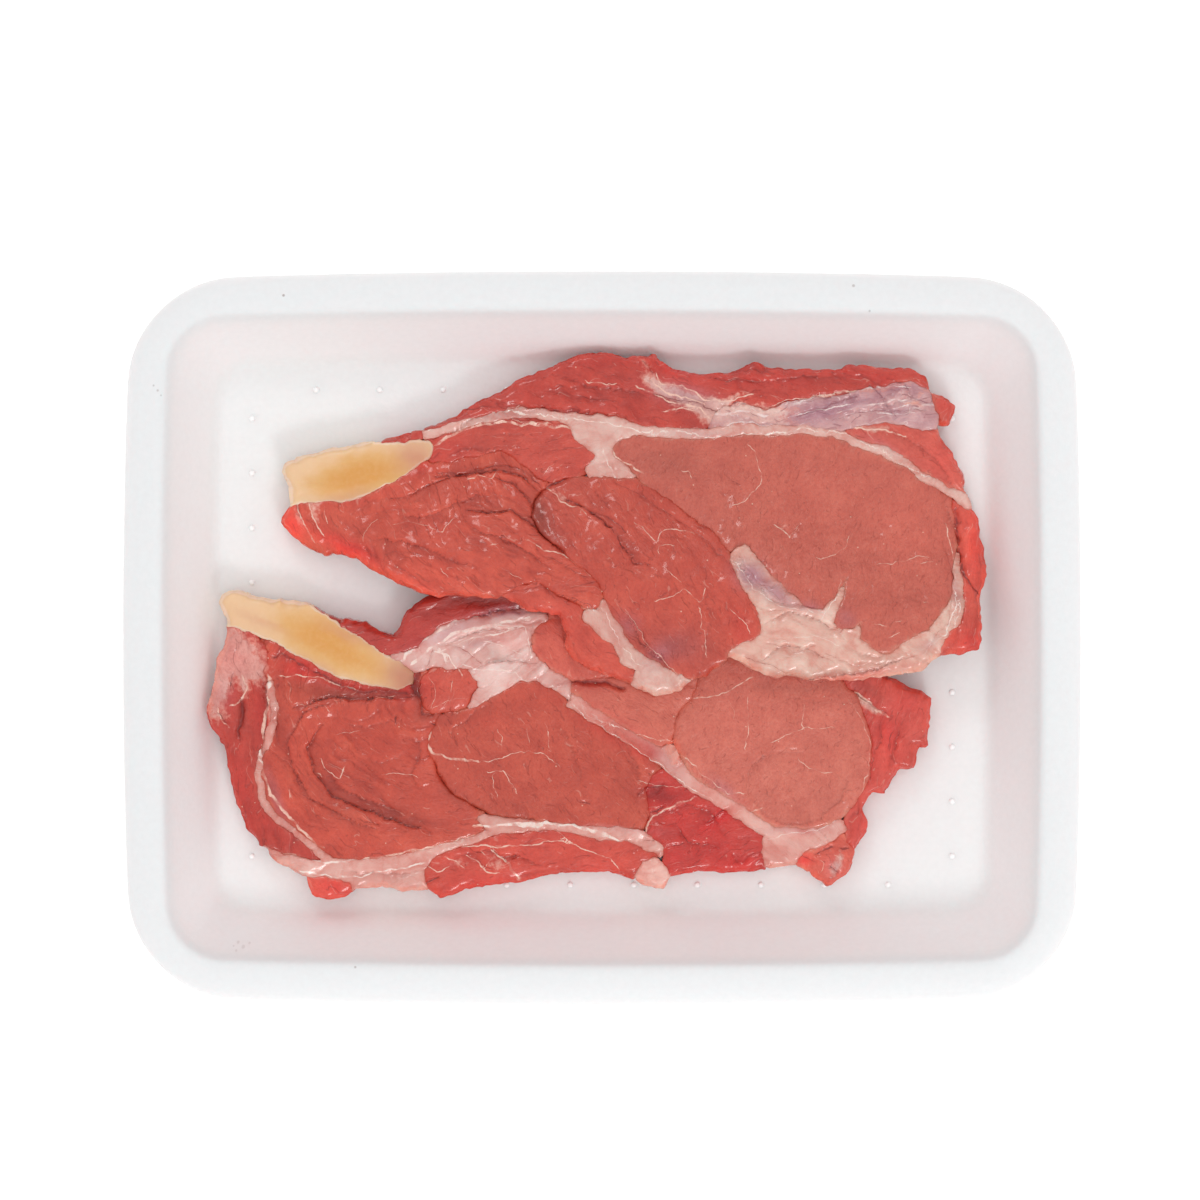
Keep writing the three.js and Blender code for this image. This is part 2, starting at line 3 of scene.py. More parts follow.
import bmesh
import bpy
import numpy as np
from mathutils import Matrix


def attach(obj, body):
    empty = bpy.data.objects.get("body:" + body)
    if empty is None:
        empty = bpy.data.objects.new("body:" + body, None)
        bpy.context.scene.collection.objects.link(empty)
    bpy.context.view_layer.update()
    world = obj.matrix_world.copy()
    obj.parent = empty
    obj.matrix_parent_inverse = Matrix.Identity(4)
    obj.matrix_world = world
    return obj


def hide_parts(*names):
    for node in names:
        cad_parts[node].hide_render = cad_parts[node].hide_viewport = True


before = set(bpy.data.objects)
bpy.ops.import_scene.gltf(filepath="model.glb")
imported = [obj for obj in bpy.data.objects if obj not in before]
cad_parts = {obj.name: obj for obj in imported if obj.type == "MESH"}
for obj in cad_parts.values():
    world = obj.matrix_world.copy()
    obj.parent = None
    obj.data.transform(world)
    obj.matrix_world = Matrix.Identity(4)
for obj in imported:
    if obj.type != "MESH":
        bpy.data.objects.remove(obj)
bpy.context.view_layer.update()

# ------------------------------------------------------------------ table, light and camera
# The pack stands on a plain white table under a broad, even light, and is seen
# from straight above, as it is on a packing bench.

MM = 0.001
RIM_HEIGHT = 25.0
TABLE_SIZE = 6.0
TABLE_GLOW = 0.34
ROOM_LIGHT = 0.60


def nothing_selected():
    if bpy.context.object and bpy.context.object.mode != "OBJECT":
        bpy.ops.object.mode_set(mode="OBJECT")
    bpy.ops.object.select_all(action="DESELECT")


def plain_material(name, colour, roughness, settings=None):
    """A material with a colour, a roughness and any other numbers that are the same all over."""
    material = bpy.data.materials.new(name)
    material.use_nodes = True
    sockets = material.node_tree.nodes["Principled BSDF"].inputs
    sockets["Base Color"].default_value = (*colour, 1.0)
    sockets["Roughness"].default_value = roughness
    for socket, value in (settings or {}).items():
        sockets[socket].default_value = value
    return material


nothing_selected()
bpy.ops.mesh.primitive_plane_add(size=TABLE_SIZE, location=(0, 0, 0))
table = bpy.context.object
table.name = "table"
table_glow = {"Specular IOR Level": 0.1, "Emission Color": (1, 1, 1, 1), "Emission Strength": TABLE_GLOW}
table.data.materials.append(plain_material("white_table", (0.93, 0.93, 0.93), 0.9, table_glow))

scene = bpy.context.scene
scene.view_settings.view_transform = "Standard"
scene.world = bpy.data.worlds.new("room")
scene.world.use_nodes = True
scene.world.node_tree.nodes["Background"].inputs["Color"].default_value = (1.0, 1.0, 1.0, 1.0)
scene.world.node_tree.nodes["Background"].inputs["Strength"].default_value = ROOM_LIGHT


def add_softbox(name, place, turn, size, power):
    bpy.ops.object.light_add(type="AREA", location=place)
    softbox = bpy.context.object
    softbox.name = name
    softbox.data.shape = "DISK"
    softbox.data.size = size
    softbox.data.energy = power
    softbox.rotation_euler = [math.radians(angle) for angle in turn]
    return softbox


overhead = add_softbox("overhead_softbox", (0.0, -0.1, 1.9), (3, 0, 0), 2.1, 9.4)
overhead.visible_glossy = False
add_softbox("front_softbox", (0.35, -0.9, 1.1), (43, 14, 0), 0.34, 5.0)
add_softbox("back_softbox", (-0.3, 1.0, 1.1), (-45, -12, 0), 0.34, 2.5)

VIEW_SPAN = 292.7
CAMERA_ABOVE_RIM = 1100.0
CAMERA_X = -0.49
CAMERA_Y = 9.27
SENSOR = 36.0
camera_place = (CAMERA_X * MM, CAMERA_Y * MM, (RIM_HEIGHT + CAMERA_ABOVE_RIM) * MM)
nothing_selected()
bpy.ops.object.camera_add(location=camera_place, rotation=(0, 0, 0))
camera = bpy.context.object
camera.data.sensor_width = SENSOR
camera.data.lens = SENSOR * CAMERA_ABOVE_RIM / VIEW_SPAN
camera.data.clip_end = 20.0
scene.camera = camera

# ------------------------------------------------------------------ foam tray
# One sheet of expanded polystyrene, about 4 mm thick, pressed hot into a rounded
# rectangle with a rolled rim. Its skin is matt and shows the flattened beads.

TRAY_LENGTH = 235.0
TRAY_WIDTH = 180.0
FLOOR_TOP = 4.0
RIM_SPREAD = 23.5
SIDE_BOW = 2.2
# Distance out from the floor's edge and height, from the floor over the rim to the base.
TRAY_PROFILE = [
    (0.0, 4.0), (1.4, 4.3), (2.8, 5.4), (4.4, 8.0), (7.2, 12.8), (10.2, 18.2), (12.4, 22.4), (13.3, 24.2),
    (14.6, 25.0), (18.0, 24.8), (21.0, 24.0), (23.0, 22.2), (23.5, 20.6), (22.8, 19.6), (20.6, 20.0),
    (18.2, 20.2), (16.6, 19.6), (15.2, 18.2), (13.6, 15.4), (10.9, 10.8), (8.4, 6.0), (6.6, 2.6),
    (5.2, 0.8), (3.2, 0.0),
]
# The corner's radius grows with the distance out: at the floor, the rim's inner edge and outside.
CORNER_PLACES = [0, 13, RIM_SPREAD]
CORNER_RADII = [8, 13, 26]
CORNER_STEPS = 10
LONG_STEPS = 12
SHORT_STEPS = 8
# The floor and the base close to the middle in steps: (share of the edge's distance, height).
FLOOR_ROWS = [(0.0, FLOOR_TOP), (0.5, FLOOR_TOP), (0.9, FLOOR_TOP)]
BASE_ROWS = [(0.9, 0.0), (0.5, 0.0), (0.0, 0.0)]
# Grey specks of recycled foam: x, y, size and strength.
FOAM_SPECKS = [
    (-77.7, 83.6, 0.45, 0.7), (-60.2, -80.3, 0.4, 0.55), (61.4, 86.0, 0.5, 0.5), (65.3, 79.8, 0.4, 0.45),
    (-109.4, 61.6, 0.35, 0.4), (-108.4, 60.4, 0.4, 0.4), (-107.6, 59.2, 0.3, 0.35), (-89.4, -74.8, 0.5, 0.25),
    (-88.0, -75.8, 0.6, 0.22), (-86.6, -75.0, 0.4, 0.2), (-89.6, -76.6, 0.4, 0.2), (-90.4, -75.6, 0.3, 0.2),
]
SPECK_GREY = (0.36, 0.30, 0.29)


def plan_ring(spread):
    """Points all round the tray's plan at a distance outwards from the edge of its floor."""
    radius = np.interp(spread, CORNER_PLACES, CORNER_RADII)
    half_x = TRAY_LENGTH / 2 - RIM_SPREAD + spread - radius
    half_y = TRAY_WIDTH / 2 - RIM_SPREAD + spread - radius
    ring = []
    for quarter, (side_x, side_y) in enumerate([(1, 1), (-1, 1), (-1, -1), (1, -1)]):
        for i in range(CORNER_STEPS + 1):
            angle = math.pi / 2 * (quarter + i / CORNER_STEPS)
            ring.append((side_x * half_x + radius * math.cos(angle), side_y * half_y + radius * math.sin(angle)))
        x, y = ring[-1]
        steps = LONG_STEPS if quarter % 2 == 0 else SHORT_STEPS
        for i in range(1, steps):
            share = 1 - 2 * i / steps
            ring.append((x * share, y) if quarter % 2 == 0 else (x, y * share))
    return np.array(ring)


def bowed(x, y):
    """The tray's long and short sides bow out a little in the middle."""
    across = (2 * x / TRAY_LENGTH) ** 2
    along = (2 * y / TRAY_WIDTH) ** 2
    return x * (1 - 2 * SIDE_BOW / TRAY_LENGTH * along), y * (1 - 2 * SIDE_BOW / TRAY_WIDTH * across)


rows = FLOOR_ROWS + TRAY_PROFILE + BASE_ROWS
rings = [plan_ring(0) * share for share, _ in FLOOR_ROWS]
rings += [plan_ring(spread) for spread, _ in TRAY_PROFILE]
rings += [plan_ring(TRAY_PROFILE[-1][0]) * share for share, _ in BASE_ROWS]
around = len(rings[0])
nothing_selected()
bpy.ops.mesh.primitive_grid_add(x_subdivisions=around, y_subdivisions=len(rows) - 1, size=1)
tray = bpy.context.object
tray.name = "moulded_tray"
grid = np.empty(len(tray.data.vertices) * 3)
tray.data.vertices.foreach_get("co", grid)
grid = grid.reshape(-1, 3)
column = np.rint((grid[:, 0] + 0.5) * around).astype(int) % around
row = np.rint((grid[:, 1] + 0.5) * (len(rows) - 1)).astype(int)
plan = np.array(rings)[row, column]
plan_x, plan_y = bowed(plan[:, 0], plan[:, 1])
height = np.array(rows)[row, 1]
tray.data.vertices.foreach_set("co", (np.column_stack([plan_x, plan_y, height]) * MM).ravel())
bpy.ops.object.mode_set(mode="EDIT")
bpy.ops.mesh.select_all(action="SELECT")
bpy.ops.mesh.remove_doubles(threshold=1e-6)
bpy.ops.mesh.normals_make_consistent(inside=False)
bpy.ops.object.mode_set(mode="OBJECT")
smoother = tray.modifiers.new("round", "SUBSURF")
smoother.levels = smoother.render_levels = 2
bpy.ops.object.modifier_apply(modifier="round")
bpy.ops.object.shade_smooth()


def add_node(tree, kind, **settings):
    node = tree.nodes.new(kind)
    for key, value in settings.items():
        setattr(node, key, value)
    return node


def feed(tree, socket, value):
    """Links a socket to another one, or sets it to a number or a colour."""
    if hasattr(value, "links"):
        tree.links.new(value, socket)
    elif isinstance(value, tuple) and len(value) == 3 and socket.type == "RGBA":
        socket.default_value = (*value, 1)
    else:
        socket.default_value = value


def sum_up(tree, operation, first, second=0.0, clamp=False):
    node = add_node(tree, "ShaderNodeMath", operation=operation, use_clamp=clamp)
    feed(tree, node.inputs[0], first)
    feed(tree, node.inputs[1], second)
    return node.outputs[0]


def plus(tree, first, second):
    return sum_up(tree, "ADD", first, second)


def times(tree, first, second):
    return sum_up(tree, "MULTIPLY", first, second)


def ramp(tree, value, low, high, start=0.0, end=1.0, interpolation="SMOOTHSTEP"):
    """Goes from start to end as the value goes from low to high."""
    node = add_node(tree, "ShaderNodeMapRange", interpolation_type=interpolation)
    feed(tree, node.inputs["Value"], value)
    for socket, number in zip(("From Min", "From Max", "To Min", "To Max"), (low, high, start, end)):
        node.inputs[socket].default_value = number
    return node.outputs["Result"]


def blended(tree, factor, first, second, blend_type="MIX"):
    node = add_node(tree, "ShaderNodeMix", data_type="RGBA", blend_type=blend_type)
    feed(tree, node.inputs["Factor"], factor)
    feed(tree, node.inputs["A"], first)
    feed(tree, node.inputs["B"], second)
    return node.outputs["Result"]


def tinted(tree, factor, look, tint):
    return blended(tree, factor, look, tint, "MULTIPLY")


def noise(tree, vector, scale, detail=3.0, roughness=0.55):
    node = add_node(tree, "ShaderNodeTexNoise")
    tree.links.new(vector, node.inputs["Vector"])
    node.inputs["Scale"].default_value = scale
    node.inputs["Detail"].default_value = detail
    node.inputs["Roughness"].default_value = roughness
    return node.outputs["Fac"]


def cells_of(tree, vector, scale, **settings):
    node = add_node(tree, "ShaderNodeTexVoronoi", **settings)
    tree.links.new(vector, node.inputs["Vector"])
    node.inputs["Scale"].default_value = scale
    return node


def object_place(tree):
    return add_node(tree, "ShaderNodeTexCoord").outputs["Object"]


def parts_of(tree, vector):
    node = add_node(tree, "ShaderNodeSeparateXYZ")
    tree.links.new(vector, node.inputs[0])
    return node.outputs


def finish_skin(tree, look, relief, strength, distance):
    """Gives the shader its colour and its fine relief."""
    shader = tree.nodes["Principled BSDF"]
    tree.links.new(look, shader.inputs["Base Color"])
    bump = add_node(tree, "ShaderNodeBump")
    bump.inputs["Strength"].default_value = strength
    bump.inputs["Distance"].default_value = distance
    tree.links.new(relief, bump.inputs["Height"])
    tree.links.new(bump.outputs["Normal"], shader.inputs["Normal"])


def foam_material(name, colour):
    """Matt pressed foam: faint beads and a fine grain, cloudy, with a few grey specks in it, and painted light and
    shade on its walls and lip.
    """
    softness = {
        "Subsurface Weight": 0.6, "Subsurface Radius": (0.009, 0.007, 0.007), "Subsurface Scale": 1.0,
        "Specular IOR Level": 0.25,
    }
    material = plain_material(name, colour, 0.6, softness)
    tree = material.node_tree
    place = object_place(tree)
    relief = plus(tree, cells_of(tree, place, 620).outputs["Distance"], noise(tree, place, 1500, 3.0, 0.5))
    clouds = ramp(tree, noise(tree, place, 700, 4.0, 0.5), 0.3, 0.7, interpolation="LINEAR")
    look = blended(tree, clouds, tuple(0.975 * c for c in colour), colour)
    flat = add_node(tree, "ShaderNodeVectorMath", operation="MULTIPLY")
    tree.links.new(place, flat.inputs[0])
    flat.inputs[1].default_value = (1 / MM, 1 / MM, 0)
    for x, y, size, strength in FOAM_SPECKS:
        gap = add_node(tree, "ShaderNodeVectorMath", operation="DISTANCE")
        tree.links.new(flat.outputs[0], gap.inputs[0])
        gap.inputs[1].default_value = (x, y, 0)
        dot = ramp(tree, gap.outputs["Value"], size * 0.4, size, strength, 0.0)
        look = blended(tree, dot, look, SPECK_GREY)
    # The walls are painted a little lighter and pinker, a painted reflection of the meat's red light on them, and the
    # lip is painted a little darker and greyer, a painted shade.
    height = parts_of(tree, place)[2]
    walls = times(tree, ramp(tree, height, 0.004, 0.009), ramp(tree, height, 0.018, 0.0245, 1.0, 0.0))
    look = tinted(tree, walls, look, (1.05, 1.02, 1.025))
    look = tinted(tree, ramp(tree, height, 0.02, 0.0245), look, (0.95, 0.975, 0.985))
    finish_skin(tree, look, relief, 0.3, 0.0001)
    return material


tray.data.materials.append(foam_material("pressed_foam", (0.82, 0.82, 0.82)))
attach(tray, "root")
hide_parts("foam_tray")

# ------------------------------------------------------------------ nibs on the tray's floor
# Small domes of the same foam, pressed up out of the floor with the tray. A row of
# them stands along each wall and keeps the meat off its own juice. They are coloured whiter than the tray, a painted
# highlight on their tops.

NIB_RADIUS = 0.75
NIB_HEIGHT = 0.5
# Each row's distance from the middle, the step between its nibs and their number.
NIB_COLUMN = (87.0, 13.6, 9)
NIB_ROW = (61.5, 15.8, 10)


def nib_steps(step, number):
    return [(i - (number - 1) / 2) * step for i in range(number)]


places = []
for y in nib_steps(*NIB_COLUMN[1:]):
    places += [(-NIB_COLUMN[0], y), (NIB_COLUMN[0], y)]
for x in nib_steps(*NIB_ROW[1:]):
    places += [(x, -NIB_ROW[0]), (x, NIB_ROW[0])]
nothing_selected()
bpy.ops.mesh.primitive_uv_sphere_add(segments=12, ring_count=8, radius=1, location=(0, 0, 0))
bpy.ops.transform.resize(value=(NIB_RADIUS * MM, NIB_RADIUS * MM, NIB_HEIGHT * MM), center_override=(0, 0, 0))
nib = bpy.context.object
bpy.ops.object.transform_apply(location=True, rotation=True, scale=True)
nothing_selected()
for x, y in places:
    dome = bpy.data.objects.new("nib", nib.data.copy())
    scene.collection.objects.link(dome)
    for vertex in dome.data.vertices:
        vertex.co.x += x * MM
        vertex.co.y += y * MM
        vertex.co.z += FLOOR_TOP * MM
    dome.select_set(True)
bpy.data.objects.remove(nib)
nibs = bpy.context.selected_objects[0]
nibs.name = "floor_nibs"
bpy.context.view_layer.objects.active = nibs
bpy.ops.object.join()
bpy.ops.object.shade_smooth()
# Whiter than the tray's foam: a painted highlight on the nibs' tops.
nibs.data.materials.append(plain_material("pressed_foam_nib_painted_highlight", (0.95, 0.95, 0.95), 0.35))
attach(nibs, "root")

# ------------------------------------------------------------------ lower slice
# A 9 mm thick cut of raw shoulder, laid flat on the tray. Where the knife passed,
# each muscle bulges a little, the membranes between them sink, and the fat stays firm.

RESTING = 4.8
SLICE_THICKNESS = 9.0
SLICE_TOP = RESTING + SLICE_THICKNESS
RELIEF_DEPTH = 0.7
MESH_STEP = 0.42
SWELL = 0.24
# Outlines that come this near to each other touch; where none comes near, the gap counts as this far.
TOUCHING = 2.0
FAR_OFF = 50.0
# The slice's edge rounds over by this much, and a piece closes gaps in the cut up to this wide.
ROUND_OVER = 2.2
CLOSES = 2.6
# Drawn veins and creases fade out this far from their middle line.
VEIN_REACH = 0.9
CREASE_REACH = 1.2


def smoothstep(value, low, high):
    t = np.clip((value - low) / (high - low), 0, 1)
    return t * t * (3 - 2 * t)


def hollow(x, y):
    wave = np.sin(x / 12 + 0.8) * np.cos(y / 10 - 0.4) + 0.5 * np.sin(x / 7 - y / 9)
    return RELIEF_DEPTH * (wave - 1.5) / 3


def lower_top(x, y):
    return SLICE_TOP + hollow(x, y)


def mottle(points, size, seed):
    """A soft random field from -1 to 1, whose lumps are about size mm across."""
    cell = points / size + seed * 7.31
    base = np.floor(cell).astype(np.int64)
    part = cell - base
    part = part * part * (3 - 2 * part)
    total = np.zeros(len(points))
    for corner in np.ndindex(2, 2, 2):
        weight = np.prod(np.where(corner, part, 1 - part), axis=1)
        spot = base + np.array(corner)
        key = (spot[:, 0] * 73856093) ^ (spot[:, 1] * 19349663) ^ (spot[:, 2] * 83492791)
        key = ((key ^ (key >> 13)) * 1274126177) & 0x7FFFFFFF
        total += weight * (key / 0x3FFFFFFF - 1)
    return total


def segment_distances(x, y, starts, ends):
    """Distance from each point to the nearest segment, its side of it, which one it is, and the way there."""
    best = np.full(len(x), 1e9)
    side = np.ones(len(x))
    which = np.zeros(len(x), int)
    way = np.zeros((len(x), 2))
    for i, ((ax, ay), (bx, by)) in enumerate(zip(starts, ends)):
        run_x, run_y = bx - ax, by - ay
        length = run_x * run_x + run_y * run_y + 1e-9
        along = np.clip(((x - ax) * run_x + (y - ay) * run_y) / length, 0, 1)
        gap = np.hypot(x - ax - along * run_x, y - ay - along * run_y)
        nearer = gap < best
        best = np.where(nearer, gap, best)
        turn = run_x * (y - ay) - run_y * (x - ax)
        side = np.where(nearer, np.where(turn < 0, -1.0, 1.0), side)
        which = np.where(nearer, i, which)
        way[nearer] = np.column_stack([ax + along * run_x - x, ay + along * run_y - y])[nearer]
    return best, side, which, way


def distance_to(x, y, segments):
    return segment_distances(x, y, segments[:, 0], segments[:, 1])[0]


def gap_between(segments, others):
    """Distance from the middle of each segment to the nearest of the others."""
    middle = segments.mean(axis=1)
    return distance_to(middle[:, 0], middle[:, 1], others)


def cut_edges(node):
    """The outline of the node's upper face, as segments in mm."""
    mesh = bmesh.new()
    mesh.from_mesh(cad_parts[node].data)
    bmesh.ops.remove_doubles(mesh, verts=mesh.verts, dist=1e-6)
    mesh.normal_update()
    outline = []
    for edge in mesh.edges:
        upper = [face.normal.z > 0.35 for face in edge.link_faces]
        if len(upper) == 2 and upper[0] != upper[1]:
            outline.append([[corner.co.x / MM, corner.co.y / MM] for corner in edge.verts])
    mesh.free()
    return np.array(outline)


def outlines_but(node, outlines):
    return np.concatenate([other for name, other in outlines.items() if name != node])


def open_edges(outlines):
    """The segments that border no other piece, which make the slice's own rim."""
    rim = [edges[gap_between(edges, outlines_but(node, outlines)) > TOUCHING] for node, edges in outlines.items()]
    return np.concatenate(rim)


def border_gap(x, y, node, neighbours, outlines):
    """Distance to the part of the node's outline that borders the named neighbours."""
    neighbours = [name for name in neighbours if name != node]
    if not neighbours:
        return np.full(len(x), FAR_OFF)
    edges = outlines[node]
    shared = edges[gap_between(edges, np.concatenate([outlines[name] for name in neighbours])) < TOUCHING]
    return distance_to(x, y, shared) if len(shared) else np.full(len(x), FAR_OFF)


def closing_move(x, y, own, node, outlines, widest):
    """How far each point near the outline moves, so that it meets the neighbour across a gap in the cut."""
    move = np.zeros((len(x), 2))
    near = own < 3.0
    low, high = outlines[node].min(axis=(0, 1)) - widest, outlines[node].max(axis=(0, 1)) + widest
    others = outlines_but(node, outlines)
    middle = others.mean(axis=1)
    others = others[((middle > low) & (middle < high)).all(axis=1)]
    gap, _, _, way = segment_distances(x[near], y[near], others[:, 0], others[:, 1])
    share = (0.5 + 0.2 / np.maximum(gap, 0.3)) * np.exp(-own[near] / 0.9)
    share *= 1 - smoothstep(gap, widest * 0.6, widest)
    move[near] = way * (share * (gap + own[near] < widest + 1.5))[:, None]
    return move


def flesh(node, name):
    """A finely meshed copy of the node, grown a little, so that neighbours meet."""
    nothing_selected()
    piece = bpy.data.objects.new(name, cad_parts[node].data.copy())
    piece.data.materials.clear()
    scene.collection.objects.link(piece)
    bpy.context.view_layer.objects.active = piece
    piece.select_set(True)
    bpy.ops.object.mode_set(mode="EDIT")
    bpy.ops.mesh.select_all(action="SELECT")
    bpy.ops.mesh.remove_doubles(threshold=1e-6)
    bpy.ops.object.mode_set(mode="OBJECT")
    remesh = piece.modifiers.new("fine", "REMESH")
    remesh.mode = "VOXEL"
    remesh.voxel_size = MESH_STEP * MM
    soften = piece.modifiers.new("soften", "SMOOTH")
    soften.factor = 0.5
    soften.iterations = 3
    swell = piece.modifiers.new("swell", "DISPLACE")
    swell.strength = SWELL * MM
    swell.mid_level = 0
    for modifier in ("fine", "soften", "swell"):
        bpy.ops.object.modifier_apply(modifier=modifier)
    bpy.ops.object.shade_smooth()
    return piece


def points_of(piece):
    flat = np.empty(len(piece.data.vertices) * 3)
    piece.data.vertices.foreach_get("co", flat)
    return flat.reshape(-1, 3) / MM


def store(piece, name, values):
    kind = "FLOAT_VECTOR" if values.ndim == 2 else "FLOAT"
    attribute = piece.data.attributes.new(name, kind, "POINT")
    attribute.data.foreach_set("vector" if values.ndim == 2 else "value", values.astype(np.float32).ravel())


def marks_near(x, y, marks, reach):
    """For drawn lines: which side of the nearest one, how near (0 to 1) and its half width."""
    steps = [(width, strength, a, b) for width, strength, *line in marks for a, b in zip(line, line[1:])]
    widths, strengths, starts, ends = zip(*steps)
    gap, side, which, _ = segment_distances(x, y, starts, ends)
    near = np.clip(1 - gap / reach, 0, 1) * np.array(strengths)[which]
    return np.column_stack([gap * side, near, np.array(widths)[which]])


def stepped(x, y, folds):
    """Folds of flesh: the left side of each line stands proud of its right side, which lies in its shadow. The shade
    below each step is painted darker, and the step's upper edge is painted lighter, a painted highlight.
    """
    rise, shade = np.zeros(len(x)), np.zeros(len(x))
    for height, reach, *points in folds:
        line = np.array(points)
        middle_x, middle_y = line.mean(axis=0)
        half_x, half_y = np.ptp(line, axis=0) / 2 + 4 * reach
        near = (np.abs(x - middle_x) < half_x) & (np.abs(y - middle_y) < half_y)
        gap, side, _, _ = segment_distances(x[near], y[near], line[:-1], line[1:])
        to_start = np.hypot(x[near] - line[0, 0], y[near] - line[0, 1])
        to_end = np.hypot(x[near] - line[-1, 0], y[near] - line[-1, 1])
        taper = smoothstep(np.minimum(to_start, to_end), 0.5, 5.0) * height
        rise[near] += taper * np.where(side > 0, 0.6, -0.7) * np.exp(-gap / reach)
        # Painted shade on the low side of each step and a painted highlight on its high edge.
        shade[near] += taper * np.where(side > 0, 0.12 * np.exp(-gap / 1.2), -0.3 * np.exp(-gap / 1.3))
    return rise, shade


def daubed(x, y, daubs):
    """Sum of soft oval patches, each (x, y, length, width, angle in degrees, amount)."""
    total = np.zeros(len(x))
    for px, py, length, width, angle, amount in daubs:
        turn = math.radians(angle)
        along = (x - px) * math.cos(turn) + (y - py) * math.sin(turn)
        across = (y - py) * math.cos(turn) - (x - px) * math.sin(turn)
        total += amount * np.exp(-((along / length) ** 2) - (across / width) ** 2)
    return total


def paint(red, green, blue):
    """A colour as it looks on a screen, turned into the light that it gives back."""
    return tuple(((c / 255 + 0.055) / 1.055) ** 2.4 for c in (red, green, blue))


def reading(tree, name, field="Fac"):
    return add_node(tree, "ShaderNodeAttribute", attribute_name=name).outputs[field]


def drawn_line(tree, name, wander):
    """How strongly a stored line shows: 1 on the line, 0 past its half width, thinning at its ends."""
    off_line, nearness, half_width = parts_of(tree, reading(tree, name, "Vector"))
    off = sum_up(tree, "ABSOLUTE", plus(tree, off_line, wander))
    width = times(tree, half_width, ramp(tree, nearness, 0.0, 0.9, 0.0, 0.85))
    core = sum_up(tree, "DIVIDE", off, plus(tree, width, 0.001))
    return times(tree, ramp(tree, core, 0.35, 1.15, 1.0, 0.0), ramp(tree, nearness, 0.0, 0.5))


def centred(tree, field, amount):
    """A noise field moved to swing about zero, by the amount."""
    return times(tree, sum_up(tree, "SUBTRACT", field, 0.5), amount)


def hairlines(tree, vector, scale, thickness, share):
    """Fine broken lines, where a soft field crosses its middle value."""
    off = sum_up(tree, "ABSOLUTE", sum_up(tree, "SUBTRACT", noise(tree, vector, scale, 1.5, 0.5), 0.5))
    kept = ramp(tree, noise(tree, vector, scale * 1.7, 1.0), 1 - share, 1.06 - share)
    return times(tree, ramp(tree, off, thickness * 0.3, thickness, 1.0, 0.0), kept)


def toned_and_shaded(tree, look):
    """Darker or brighter, as the piece's tone says: partly its own colour, partly painted shade and highlight."""
    return tinted(tree, 1.0, look, plus(tree, reading(tree, "tone"), 1.0))


FATTY_EDGE = paint(226, 150, 134)
FATTY_MIDDLE = paint(230, 186, 174)
LILAC = paint(172, 116, 130)
PALE_SPECK_AND_GLINT = paint(242, 200, 178)


